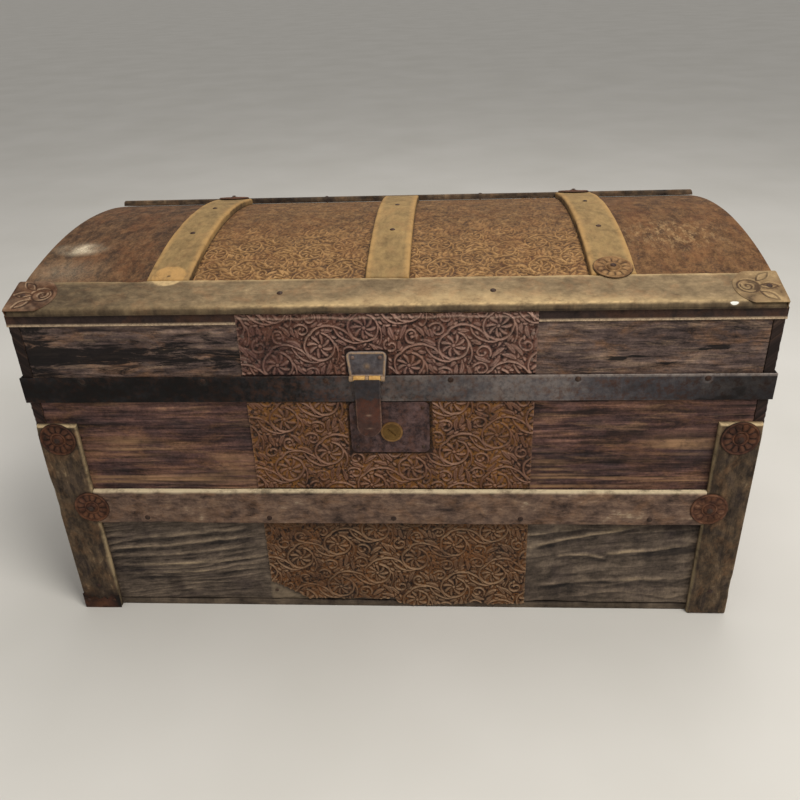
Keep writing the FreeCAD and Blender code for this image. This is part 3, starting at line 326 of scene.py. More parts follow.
class Look:
    """A material with short ways to add nodes."""

    def __init__(self, name):
        self.material = bpy.data.materials.new(name)
        self.material.use_nodes = True
        self.tree = self.material.node_tree
        self.shader = self.tree.nodes["Principled BSDF"]

    def put(self, socket, value):
        """Links a socket to another, or gives it a number, a vector or a screen colour."""
        if isinstance(value, bpy.types.NodeSocket):
            self.tree.links.new(value, socket)
        else:
            socket.default_value = srgb(*value) if socket.type == "RGBA" else value

    def add(self, kind, **inputs):
        """A new node. Spaces in the names of its sockets are written as underscores."""
        node = self.tree.nodes.new("ShaderNode" + kind)
        for key, value in inputs.items():
            self.put(node.inputs[key.replace("_", " ")], value)
        return node

    def mark(self, name):
        node = self.add("Attribute")
        node.attribute_name = name
        return node.outputs["Vector" if name == "grain" else "Fac"]

    def place(self):
        return self.add("TexCoord").outputs["Object"]

    def stretch(self, vector, scale):
        return self.add("Mapping", Vector=vector, Scale=scale).outputs["Vector"]

    def cloud(self, vector, scale, detail=4.0, roughness=0.6, distortion=0.0):
        node = self.add("TexNoise", Vector=vector, Scale=scale, Detail=detail, Roughness=roughness,
                        Distortion=distortion)
        return node.outputs["Fac"]

    def drawn_cloud(self, vector, scales, *finish):
        """A cloud with a scale of its own along each axis."""
        return self.cloud(self.stretch(vector, scales), 1.0, *finish)

    def reckon(self, operation, *values):
        node = self.add("Math")
        node.operation = operation
        for socket, value in zip(node.inputs, values):
            self.put(socket, value)
        return node.outputs[0]

    def sum(self, *pairs):
        """A weighted sum of (value, weight) pairs."""
        total = 0.0
        for value, weight in pairs:
            total = self.reckon("MULTIPLY_ADD", value, weight, total)
        return total

    def times(self, first, second):
        return self.reckon("MULTIPLY", first, second)

    def between(self, value, low, high, to_low=0.0, to_high=1.0):
        node = self.add("MapRange", Value=value, From_Min=low, From_Max=high, To_Min=to_low, To_Max=to_high)
        return node.outputs["Result"]

    def ramp(self, value, *stops):
        """A ramp of colours through (place, colour) stops."""
        node = self.add("ValToRGB", Fac=value)
        bar = node.color_ramp.elements
        for end in (0, -1):
            bar[end].position = stops[end][0]
            bar[end].color = srgb(*stops[end][1])
        for at, colour in stops[1:-1]:
            bar.new(at).color = srgb(*colour)
        return node.outputs["Color"]

    def mix(self, share, first, second, kind="MIX"):
        node = self.add("Mix")
        node.data_type = "RGBA"
        node.blend_type = kind
        for key, value in (("Factor", share), ("A", first), ("B", second)):
            self.put(node.inputs[key], value)
        return node.outputs["Result"]

    def stain(self, colour, value, low, high, share, other):
        """Another colour over this one, from none to a share of it as a value goes from low to high."""
        return self.mix(self.between(value, low, high, 0.0, share), colour, other)

    def bump(self, height, distance, strength=1.0):
        node = self.add("Bump", Height=height, Distance=distance, Strength=strength)
        self.put(self.shader.inputs["Normal"], node.outputs["Normal"])

    def finish(self, colour, roughness, metallic=0.0):
        self.put(self.shader.inputs["Base Color"], colour)
        self.put(self.shader.inputs["Roughness"], roughness)
        self.shader.inputs["Metallic"].default_value = metallic
        self.shader.inputs["Specular IOR Level"].default_value = 0.25
        return self.material


def wood(name, dark, mid, light, pale, soot=0.0, figure=0.1, streaks=1.0, spread=1.0, warm=0.0, cool=0.0,
         cloudy=0.0, flecks=0.0, paint=False, on_boards=True):
    """Weathered wood with fine streaks along the grain, growth rings, stains, checks and bleached edges.

    Cloudy wood, from 0 to 1, has rounder stains and shorter streaks.
    """
    look = Look(name)
    grain = look.mark("grain") if on_boards else look.place()
    soil = look.mark("soil")
    streak = look.drawn_cloud(grain, (11.0 + 60.0 * cloudy, 230.0 - 110.0 * cloudy, 40.0), 7.0, 0.7, 0.3)
    fibre = look.drawn_cloud(grain, (45.0 + 120.0 * cloudy, 800.0 - 350.0 * cloudy, 60.0), 3.0, 0.6)
    stain = look.drawn_cloud(grain, (9.0 + 15.0 * cloudy, 30.0, 30.0), 6.0, 0.66, 0.5)
    blotch = look.drawn_cloud(grain, (60.0, 75.0, 30.0), 7.0, 0.74)
    speckle = look.drawn_cloud(grain, (330.0, 420.0, 30.0), 3.0, 0.7)
    tone = look.sum((stain, 0.4), (look.mark("relief"), figure), (blotch, 0.35), (streak, 0.25))
    middle = 0.5 + 0.3 * figure
    colour = look.ramp(tone, (middle - 0.14 * spread, dark), (middle - 0.01, mid),
                       (middle + 0.1 * spread, light), (middle + 0.26, pale))
    patch = look.drawn_cloud(grain, (15.0 + 22.0 * cloudy, 42.0, 30.0), 7.0, 0.72, 0.6)
    if warm:
        colour = look.stain(colour, patch, 0.5, 0.64, warm, WARM_WOOD)
    if cool:
        colour = look.stain(colour, patch, 0.49, 0.36, cool, COOL_WOOD)
    if flecks:
        bare = look.drawn_cloud(grain, (14.0, 95.0, 30.0), 7.0, 0.72, 0.5)
        colour = look.stain(colour, bare, 0.53, 0.66, flecks, pale)
    fine = look.sum((streak, 0.5), (fibre, 0.2), (speckle, 0.3))
    shade = look.between(fine, 0.38, 0.62, 1 - 0.5 * streaks, 1 + 0.45 * streaks)
    colour = look.mix(1.0, colour, shade, "MULTIPLY")
    check = look.drawn_cloud(grain, (5.0, 120.0, 50.0), 5.0, 0.55, 0.5)
    colour = look.stain(colour, check, 0.4, 0.3, 0.85 * min(streaks, 1.0), dark)
    # Paler where rubbed and where highlights are painted, then darker where dirty and where shade is painted
    worn = look.times(look.mark("wear"), look.between(blotch, 0.34, 0.52, 0.35, 1.0))
    colour = look.mix(worn, colour, pale)
    if soot:
        burnt = look.drawn_cloud(grain, (17.0, 95.0, 20.0), 10.0, 0.76, 0.7)
        black = look.sum((burnt, 0.85), (speckle, 0.15), (soil, 0.17))
        colour = look.stain(colour, black, 0.57, 0.64, soot, SOOT)
    else:
        dirty = look.times(soil, look.between(blotch, 0.65, 0.35, 0.55, 1.0))
        colour = look.mix(dirty, colour, WOOD_DIRT_AND_SHADE)
    if paint:
        colour = look.stain(colour, soil, -0.25, -0.6, 1.0, WHITE_PAINT)
    bumps = look.sum((streak, 0.6), (fibre, 0.25), (check, 0.4), (speckle, 0.2))
    look.bump(bumps, 0.9 * MM, 0.4 + 0.35 * streaks)
    return look.finish(colour, look.between(streak, 0.2, 0.8, 0.92, 0.7))


def tin(name, recess, mid, ridge, scuff, scuffs=0.0, rust=0.4, patches=0.6, bold=1.0, pits=0.0, ground=None,
        slant=1.0, finer=1.0, spread=1.0, flaky=False):
    """Pressed sheet tin: dark in its hollows, rubbed on its ridges, with rust, grime, pits and scuffs.

    The ground between the ridges can have a colour of its own. Slant stretches the stains along Y, and
    finer makes them smaller. Spread is how far the ramp of its colours is drawn out. Flaky wear comes off
    in specks.
    """
    look = Look(name)
    place = look.stretch(look.place(), (finer, finer * slant, finer))
    relief = look.mark("relief")
    mottle = look.cloud(place, 48.0, 8.0, 0.75, 0.2)
    grit = look.cloud(place, 420.0, 5.0, 0.8)
    rubbed = look.sum((relief, 0.46), (mottle, 0.33), (grit, 0.21))
    middle = 0.42
    colour = look.ramp(rubbed, (middle - (0.06 + 0.14 * bold) * spread, recess), (middle, mid),
                       (middle + 0.26 * spread, ridge), (middle + 0.44 * spread, scuff))
    blotch = look.cloud(place, 19.0, 7.0, 0.74, 0.3)
    colour = look.stain(colour, blotch, 0.46, 0.62, rust, RUST)
    if ground:
        shown = look.cloud(place, 36.0, 6.0, 0.66)
        share = look.times(look.between(relief, 0.4, 0.08), look.between(shown, 0.4, 0.56, 0.0, 0.85))
        colour = look.mix(share, colour, ground)
    grime = look.cloud(place, 70.0, 8.0, 0.78, 0.3)
    colour = look.stain(colour, grime, 0.47, 0.66, patches, recess)
    if pits:
        holes = look.cloud(place, 270.0, 3.0, 0.6)
        colour = look.stain(colour, look.sum((holes, 1.0), (relief, -0.2)), 0.49, 0.59, pits, PIT)
    if scuffs:
        colour = look.stain(colour, look.cloud(place, 85.0, 7.0, 0.7), 0.5, 0.66, scuffs, ridge)
    # Paler where rubbed and where highlights are painted, then darker where dirty and where shade is painted
    worn = look.times(look.mark("wear"), look.between(grit, 0.35, 0.6, 0.35, 1.0))
    if flaky:
        worn = look.times(worn, look.between(look.cloud(place, 115.0, 6.0, 0.75), 0.5, 0.6))
    colour = look.mix(worn, colour, scuff)
    dirty = look.times(look.mark("soil"), look.between(grit, 0.7, 0.4, 0.6, 1.0))
    colour = look.mix(dirty, colour, TIN_DIRT_AND_SHADE)
    look.bump(look.sum((grit, 0.6), (mottle, 0.5), (grime, 0.4)), 0.5 * MM, 0.7)
    return look.finish(colour, look.between(grime, 0.3, 0.7, 0.55, 0.85), 0.1)


def iron(name, dark, grey, rusty, rubbed, metallic=0.4, rust=0.85, smears=13.0):
    """Old iron or brass: dark, greyer in places, with brown rust, pits and rubbed edges."""
    look = Look(name)
    place = look.place()
    cloud = look.cloud(place, smears, 6.0, 0.7, 0.3)
    spots = look.cloud(place, 160.0, 5.0, 0.7)
    tone = look.sum((cloud, 0.4), (spots, 0.32), (look.mark("relief"), 0.28))
    colour = look.ramp(tone, (0.32, dark), (0.56, grey), (0.8, rubbed))
    brown = look.cloud(place, 105.0, 7.0, 0.78)
    colour = look.stain(colour, brown, 0.47, 0.62, rust, rusty)
    # Paler where rubbed and where highlights are painted, then darker where dirty and where shade is painted
    worn = look.times(look.mark("wear"), look.between(spots, 0.35, 0.55, 0.3, 1.0))
    colour = look.mix(worn, colour, rubbed)
    colour = look.mix(look.mark("soil"), colour, IRON_DIRT_AND_SHADE)
    look.bump(look.sum((spots, 0.8), (brown, 0.6)), 0.4 * MM, 0.7)
    return look.finish(colour, look.between(brown, 0.4, 0.65, 0.45, 0.78), metallic)


def leather(name):
    """Dry brown leather with a fine grain, cracks and rubbed edges."""
    look = Look(name)
    place = look.place()
    cells = look.add("TexVoronoi", Vector=place, Scale=520.0)
    cells.feature = "DISTANCE_TO_EDGE"
    pores = cells.outputs["Distance"]
    cloud = look.cloud(place, 40.0, 5.0, 0.65)
    colour = look.ramp(cloud, (0.3, (46, 28, 18)), (0.52, (86, 54, 32)), (0.75, (120, 82, 52)))
    crack = look.drawn_cloud(place, (60.0, 400.0, 60.0), 5.0, 0.7)
    colour = look.stain(colour, crack, 0.36, 0.28, 0.7, (28, 18, 12))
    colour = look.mix(look.mark("wear"), colour, (142, 104, 70))
    look.bump(look.sum((pores, 2.0), (cloud, 0.4), (crack, 0.5)), 0.5 * MM, 0.6)
    return look.finish(colour, look.between(cloud, 0.3, 0.7, 0.72, 0.5))


# Colours of wood run from dark to bleached, and those of tin from its hollows to its scuffs. Those of iron
# are dark, grey, rusty and rubbed. The last colour of each also paints highlights, and the dirt colours paint
# shade.
UPPER_WOOD = wood("upper_board_wood", (31, 21, 21), (79, 56, 53), (109, 80, 71), (166, 130, 96),
                  streaks=1.35, warm=0.3, cool=0.6, flecks=0.3)
LOWER_WOOD = wood("lower_board_wood", (35, 30, 28), (82, 71, 62), (111, 97, 84), (150, 132, 108),
                  figure=0.28, streaks=0.9, cool=0.4, cloudy=0.3)
SKIRT_WOOD = wood("lid_board_wood", (34, 27, 28), (84, 69, 65), (114, 96, 87), (160, 134, 110),
                  soot=0.95, figure=0.06, streaks=1.4, warm=0.35, cool=0.5, cloudy=0.2, flecks=0.5)
END_WOOD = wood("lid_end_wood", (30, 23, 22), (76, 58, 52), (106, 84, 73), (140, 116, 98),
                warm=0.3, cool=0.4)
INNER_WOOD = wood("stave_wood", (70, 50, 34), (122, 94, 66), (150, 120, 88), (170, 140, 106),
                  streaks=0.6, on_boards=False)
CROSS_SLAT_WOOD = wood("cross_slat_wood", (96, 77, 50), (131, 108, 71), (149, 123, 80), (180, 140, 86),
                       figure=0.01, streaks=0.16, warm=0.2, cloudy=1.0)
EDGE_SLAT_WOOD = wood("edge_slat_wood", (80, 65, 48), (114, 97, 73), (137, 117, 88), (218, 188, 138),
                      figure=0.01, streaks=0.4, spread=1.1, warm=0.25, cloudy=1.0, paint=True)
WALL_SLAT_WOOD = wood("wall_slat_wood", (48, 36, 31), (96, 76, 65), (122, 99, 83), (210, 194, 162),
                      figure=0.02, streaks=0.5, spread=0.7, warm=0.2, cool=0.3, cloudy=0.85)
BATTEN_WOOD = wood("batten_wood", (30, 22, 17), (64, 52, 40), (92, 75, 57), (196, 174, 136),
                   figure=0.02, streaks=0.5, spread=0.65, warm=0.2, cool=0.3, cloudy=0.75)
DOME_TIN = tin("dome_tin", (58, 36, 20), (137, 101, 61), (188, 149, 98), (206, 176, 128),
               0.25, 0.3, 0.45, pits=0.3, slant=0.8, finer=1.3)
DOME_END_TIN = {"left": tin("dome_left_tin", (46, 28, 15), (92, 65, 41), (138, 105, 72), (212, 198, 172),
                            0.3, 0.45, 0.9, 0.6, slant=0.5, finer=1.5, spread=0.45),
                "right": tin("dome_right_tin", (56, 35, 19), (104, 73, 43), (146, 110, 69), (188, 156, 112),
                             0.3, 0.35, 0.8, 0.6, slant=0.5, finer=1.5, spread=0.5, flaky=True)}
HEM_TIN = tin("hem_tin", (28, 21, 20), (62, 47, 43), (92, 72, 62), (204, 180, 150), rust=0.2, patches=0.7)
LID_TIN = tin("lid_front_tin", (33, 21, 22), (104, 72, 66), (152, 116, 103), (198, 168, 150),
              rust=0.35, patches=0.6, pits=0.85, ground=(104, 67, 54))
UPPER_TIN = tin("upper_front_tin", (34, 21, 17), (98, 67, 52), (128, 94, 77), (168, 136, 116),
                rust=0.3, patches=0.4, pits=0.85, ground=(134, 90, 42))
LOWER_TIN = tin("lower_front_tin", (34, 23, 16), (92, 66, 49), (128, 98, 73), (178, 150, 118),
                rust=0.35, patches=0.45, pits=0.85, ground=(114, 73, 38))
TRIM_TIN = tin("trim_tin", (16, 8, 6), (64, 37, 27), (104, 69, 50), (150, 116, 92),
               rust=0.25, patches=0.5, bold=0.5)
LID_TRIM_TIN = tin("lid_trim_tin", (52, 34, 20), (112, 83, 52), (160, 126, 84), (184, 150, 106),
                   rust=0.25, patches=0.5, bold=0.5)
CAP_TIN = {"right": tin("right_cap_tin", (66, 50, 34), (112, 92, 65), (140, 117, 84), (176, 150, 110),
                        rust=0.2, patches=0.4, bold=0.5),
           "left": tin("left_cap_tin", (36, 24, 18), (72, 52, 39), (124, 100, 80), (172, 148, 120),
                       rust=0.35, patches=0.6, bold=0.6)}
BAND_IRON = iron("band_iron", (16, 13, 14), (80, 77, 82), (82, 55, 43), (138, 128, 122))
PLATE_IRON = iron("plate_iron", (46, 34, 35), (138, 109, 106), (102, 70, 58), (160, 134, 120),
                  0.25, 0.5, 42.0)
NAIL_IRON = iron("nail_iron", (44, 32, 27), (100, 80, 68), (84, 56, 42), (150, 124, 106), 0.3, 0.6)
SLAT_NAIL_IRON = iron("slat_nail_iron", (38, 28, 24), (88, 69, 58), (66, 46, 38), (120, 98, 84), 0.2)
TACK_IRON = iron("tack_iron", (84, 68, 62), (160, 138, 126), (112, 84, 70), (190, 168, 154), 0.2, 0.5)
HASP_STEEL = iron("hasp_steel", (70, 66, 70), (130, 125, 129), (92, 76, 68), (190, 156, 116),
                  0.3, 0.4, 40.0)
TONGUE_STEEL = iron("tongue_steel", (44, 41, 44), (84, 79, 83), (86, 64, 52), (130, 120, 116), 0.3, 0.5)
TONGUE_IRON = iron("tongue_iron", (56, 38, 34), (100, 72, 64), (98, 58, 44), (172, 140, 120),
                   0.25, 0.7, 30.0)
BRASS = iron("old_brass", (84, 62, 30), (142, 110, 58), (100, 74, 40), (184, 152, 98), 0.4, 0.4)
RING_BRASS = iron("ring_brass", (104, 76, 42), (172, 132, 80), (120, 86, 50), (200, 164, 112), 0.3, 0.4)
# Brass lightened by a painted glint, for the hasp tongue's knuckles
BRIGHT_BRASS = iron("brass_with_painted_glint", (150, 108, 52), (222, 170, 92), (176, 124, 62), (236, 196, 128),
                    0.4, 0.4)
LEATHER = leather("old_leather_strap")


# Ways to lay a slab: u runs along it, v across it and h out of its face

def lengthwise(back, facing):
    """Along X, with its face to the front for facing -1 and to the back for 1."""
    return lambda u, v, h: np.stack([u, back + facing * h, v], -1)


def upright(back, facing):
    """Along Z, with its face to the front for facing -1 and to the back for 1."""
    return lambda u, v, h: np.stack([v, back + facing * h, u], -1)


def on_end(back, side):
    """Along Y, on the right end for side 1 and on the left for -1."""
    return lambda u, v, h: np.stack([side * (back + h), u, v], -1)


def on_floor(u, v, h):
    return np.stack([u, v, h], -1)


def round_dome(base):
    """For what follows the dome: u is the angle from the crown towards the back, v runs sideways."""
    return lambda u, v, h: np.stack([v, (base + h) * np.sin(u), DOME_AXIS + (base + h) * np.cos(u)], -1)


def on_dome(base, angle):
    """For straight pieces laid on the dome: u runs sideways, v along the slope, h away from it."""
    out = np.array([0.0, math.sin(angle), math.cos(angle)])
    slope = np.array([0.0, math.cos(angle), -math.sin(angle)])
    axis = np.array([0.0, 0.0, DOME_AXIS])
    side = np.array([1.0, 0.0, 0.0])

    def place(u, v, h):
        return axis + u[..., None] * side + v[..., None] * slope + (base + h)[..., None] * out
    return place


def spans(node):
    low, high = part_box(node)
    return [(low[k], high[k]) for k in range(3)]


def flat(node, facing):
    """A flat piece's span along, span up, thickness and way to lay it, on the side that it faces."""
    x, y, z = spans(node)
    if facing == "front":
        return x, z, y[1] - y[0], lengthwise(y[1], -1)
    if facing == "back":
        return x, z, y[1] - y[0], lengthwise(y[0], 1)
    side = 1 if facing == "right" else -1
    return y, z, x[1] - x[0], on_end(min(abs(x[0]), abs(x[1])), side)


# Boards, slats and battens

SLAT = {"spacing": 5.0, "lean": 0.02, "ridges": 0.15, "edge": 2.2}
LID_SLAT = {"spacing": 5.0, "ridges": 0.12, "edge": 2.4, "fine": 1.2, "worn_and_highlit_edges": (0.0, 0.0)}
END_DIRT_REACH = 2.2 * MM

# Bold lines of grain on the lower front board: x and z of the left end, x and z of the right end and the
# sag, in millimetres, and then the boldness
LEDGES = ((165, 95, 290, 123, 2, 1.0), (190, 80, 258, 76, 4, 0.9), (246, 83, 360, 101, -2, 0.9),
          (168, 35, 356, 49, 2, 0.5), (-362, 89, -156, 112, -4, 0.7), (-362, 76, -156, 97, -5, 0.55),
          (-362, 61, -156, 80, -6, 0.5), (-335, 104, -170, 122, -2, 0.5), (-345, 47, -160, 62, -4, 0.4))

# Marks on the front boards, in millimetres: x and z of the middle, then the half sizes
BARE_PLACES = ((178, 205, 16, 20), (318, 240, 34, 11), (-300, 238, 30, 12), (-185, 216, 24, 9))
DARK_DASHES = ((262, 254, 26, 5), (244, 244, 34, 3), (300, 263, 30, 3), (215, 282, 60, 3))
BLACK_DASHES = ((252, 347, 24, 2.6), (292, 340, 16, 2.6), (338, 358, 22, 2.6))


def growth_rings(along, across, seed, pith, lean):
    """Distance from the pith of what a board's face cuts. The pith lies this far sideways and behind it."""
    side, behind = pith
    depth = behind + lean * along + 14 * MM * noise(along * 2.7, across * 4.0, seed)
    return np.hypot(across - side + 12 * MM * noise(along * 3.3, across * 6.0, seed + 1), depth)


def ring_ridges(radius, along, across, seed, spacing, steep):
    """Raised lines, 0 to 1, where the hard part of each ring shows. Steep ones drop off below."""
    phase = radius / spacing + 0.5 * rough(along * 12.0, across * 45.0, seed + 2)
    ridge = (0.5 + 0.5 * np.cos(FULL_TURN * phase)) ** 1.6
    if steep:
        part = np.mod(phase, 1)
        ridge = fade(part, 0.2) * (1 - part) ** 1.2 * 1.2
    return ridge * patchy(along, across, 11.0, 30.0, seed + 7, 0.6, 0.7)


def wavy_grain(u, v):
    """Distance across lines of grain that climb to the right in waves, wider apart at the right."""
    rise = 0.14 * u + 7.0 * MM * noise(u * 8.0, v * 13.0, 13) + 2.6 * MM * noise(u * 24.0, v * 28.0, 15)
    return (v - rise) / (1 + 1.1 * fade(u + 0.06, 0.12))


def board(along, across, thickness, place, seed, spacing=6.0, pith=(-60.0, 40.0), lean=0.03, ridges=0.5,
          edge=2.0, chips=1.5, top=None, fine=1.4, coarse=5.0, worn_and_highlit_edges=(0.3, 0.3), dirt=None, shine=None,
          lip=None, under=1.0, grain=None, carve=None):
    """A weathered board as a closed slab. Sizes of its wear are in millimetres, its spans in metres.

    A grain of its own takes the place of round growth rings, and the streaks follow it. Carve can change
    the raised lines, top bends the upper edge, and lip rounds the lower one more. Dirt gives the darkening
    at each point, real dirt and painted shade alike, and shine the paler marks, rubbing and painted
    highlights alike. The paleness of its edges is bleaching by default and a painted highlight where slats
    and battens set it.
    """
    edge = edge * MM
    u = spaced(*along, coarse * MM, edge)
    share = (spaced(*across, fine * MM, edge) - across[0]) / (across[1] - across[0])
    wander = 0.35 * MM * (1 + noise(u * 14.0, 0.5, seed + 3))
    low = across[0] + wander
    high = (across[1] if top is None else top(u)) - wander[::-1]
    grid_u, grid_v = drawn(u, low, high - low, share)
    chip_low = chips * MM * patchy(u, 1.5, 22.0, 1.0, seed + 4, -0.25, 1.0)[:, None]
    chip_high = chips * MM * patchy(u, 7.5, 22.0, 1.0, seed + 5, -0.25, 1.0)[:, None]
    drop_low = rounded(grid_v - low[:, None], (edge if lip is None else lip * MM) + 2 * chip_low)
    drop_high = rounded(high[:, None] - grid_v, edge + 2 * chip_high)
    drop = drop_low + drop_high + rounded(np.minimum(grid_u - along[0], along[1] - grid_u), edge)
    if grain is None:
        radius = growth_rings(grid_u, grid_v, seed, (pith[0] * MM, pith[1] * MM), lean)
        flow = grid_v
    else:
        radius = grain(grid_u, grid_v)
        flow = radius
    rings = ring_ridges(radius, grid_u, grid_v, seed, spacing * MM, grain is not None)
    if carve is not None:
        rings = carve(grid_u, grid_v, rings)
    fray = 0.5 * MM * patchy(grid_u, flow, 9.0, 150.0, seed + 6, 0.0, 1.0) * min(ridges, 1.0)
    height = thickness - np.minimum(drop, thickness * 0.7) - ridges * MM * (1 - rings) - fray
    wear = worn_and_highlit_edges[0] * unit(drop_low / edge) ** 0.7 + worn_and_highlit_edges[1] * unit(drop_high / edge) ** 0.7
    if shine is not None:
        wear = unit(wear + shine(grid_u, grid_v))
    soil = 0.0 if dirt is None else dirt(grid_u, grid_v)
    return slab(grid_u, grid_v, np.maximum(height, 0.2 * thickness), place, under, relief=rings, wear=wear,
                soil=soil, along=grid_u, across=flow, seed=seed * 0.173)


def uncovered(u, v):
    """Paler wood on the lower front board where the tin's corner has torn away."""
    left = spans("front_lower_tin")[0][0]
    corner = fade(40 * MM - v - 0.6 * (u - left), 8 * MM) * fade(u - left + 3 * MM, 3 * MM)
    return 0.5 * corner * (u < 0)


def carved(u, v, rings):
    """The lower front board's waves of grain, worn away towards the foot, with a few bold ledges."""
    broken = patchy(u, v, 9.0, 16.0, 19, 0.75, 0.7, 0.2, 1.1)
    rings = 0.4 + (rings - 0.4) * (0.5 + 0.4 * fade(v - 14 * MM, 50 * MM)) * broken
    for left, at_left, right, at_right, sag, bold in LEDGES:
        share = unit((u / MM - left) / (right - left))
        line = at_left + (at_right - at_left) * share + sag * np.sin(math.pi * share)
        off = v / MM - line - 1.6 * rough(u * 32.0, v * 9.0, 21)
        shown = bold * fade(share, 0.12) * fade(1 - share, 0.2)
        rings = rings + shown * (0.8 * bell(off - 2.2, 2.8) - 0.95 * bell(off + 2.4, 2.4))
    return unit(rings)


def spilt(u, v):
    """A square stain low on the left, dirt along the foot, and darker wood under the slat at the right."""
    off = np.maximum(np.abs(u + 282 * MM) - 8 * MM, np.abs(v - 32 * MM) - 11 * MM)
    above = v - 104 * MM - 0.1 * (u - 165 * MM) + 5 * MM * rough(u * 30.0, v * 60.0, 33)
    return most(0.55 * fade(4 * MM - off, 5 * MM), 0.5 * fade(14 * MM - v, 6 * MM),
                0.75 * fade(above, 8 * MM) * fade(u - 180 * MM, 0.05))


def bleached(u, v):
    """Pale raised lines of grain on the upper front board: along its foot and in a few bare places."""
    bare = most(0.85 * fade(210 * MM - v, 18 * MM), *(spot(u, v, *place) for place in BARE_PLACES))
    return 0.8 * patchy(u, v, 6.0, 260.0, 29, 0.1, 1.3) * bare


def streaked(u, v):
    """Dark stains that follow the upper front board's grain, most of them at the right."""
    dark = 0.6 * patchy(u, v, 7.0, 120.0, 31, -0.1, 1.6) * (0.35 + 0.65 * fade(u - 0.1, 0.1))
    ragged = 0.45 * rough(u * 40.0, v * 160.0, 35)
    for at, up, wide, tall in DARK_DASHES:
        off = np.hypot((u / MM - at) / wide, (v / MM - up) / tall)
        dark = np.maximum(dark, 0.9 * fade(1.1 - off + ragged, 0.5))
    return dark


def charred_and_shaded(u, v):
    """Soot along the middle of the lid's front board at the left, painted shade over its left end, and black
    dashes at the right.
    """
    middle = (spans("lid_front_board")[2][0] + EAVE) / 2
    black = fade(0.08 - u, 0.3) * bell(v - middle, 16 * MM) + 0.1 * fade(u - 0.2, 0.2)
    black = black + 0.45 * fade(-u - 0.335, 0.05)
    ragged = patchy(u, v, 70.0, 260.0, 39, 0.9, 1.2, 0.0, 1.6)
    for dash in BLACK_DASHES:
        black = black + 1.2 * ragged * spot(u, v, *dash)
    return black


def dark_ends(along, strength):
    """Dirt that gathers close to a board's two ends."""
    def dirt(u, v):
        return strength * unit(1 - np.minimum(u - along[0], along[1] - u) / END_DIRT_REACH) ** 0.4
    return dirt


def front_boards():
    lower = board(*flat("front_lower_plank", "front"), 11, 8.6, ridges=1.1, coarse=3.0, grain=wavy_grain,
                  carve=carved, shine=uncovered, dirt=spilt)
    dress("front_lower_plank", [lower], [LOWER_WOOD], "box")
    upper = board(*flat("front_upper_plank", "front"), 23, 6.0, (290.0, 60.0), 0.05, 0.8, shine=bleached,
                  dirt=streaked)
    cut_staple_slot(dress("front_upper_plank", [upper], [UPPER_WOOD], "box"))
    along, up, thickness, place = flat("lid_front_board", "front")
    skirt = board(along, (up[0], LID_BOARD_TOP), thickness, place, 37, 6.5, (430.0, 50.0), 0.04, 0.6,
                  dirt=charred_and_shaded)
    dress("lid_front_board", [skirt], [SKIRT_WOOD], "lid")


def cut_staple_slot(plank):
    """Opens the slot in the plank's top edge in which the hasp's staple stands."""
    low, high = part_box("hasp_staple")
    side_gap = 1.0 * MM
    end_gap = 2.2 * MM
    in_front = -0.3
    above = 0.4
    corners = [(low.x - side_gap, high.x + side_gap), (in_front, high.y + end_gap), (low.z, above)]
    points = [(x, y, z) for x in corners[0] for y in corners[1] for z in corners[2]]
    faces = [(0, 1, 3, 2), (4, 6, 7, 5), (0, 4, 5, 1), (2, 3, 7, 6), (0, 2, 6, 4), (1, 5, 7, 3)]
    mesh = bpy.data.meshes.new("slot_cutter")
    mesh.from_pydata(points, [], faces)
    cutter = add_object("slot_cutter", mesh)
    cut = plank.modifiers.new("slot", "BOOLEAN")
    cut.object = cutter
    cut.operation = "DIFFERENCE"
    cut.solver = "EXACT"
    view = bpy.context.evaluated_depsgraph_get()
    view.update()
    plank.data = bpy.data.meshes.new_from_object(plank.evaluated_get(view))
    plank.modifiers.clear()
    bpy.data.objects.remove(cutter)


def arch(u):
    """The upper edge of the lid's ends."""
    return DOME_AXIS + np.sqrt(DOME_INNER_RADIUS ** 2 - u ** 2)


# Dirt and painted shade, even over the bottom planks
def dirt_and_shade_underneath(u, v):
    return np.full_like(u, 0.6)


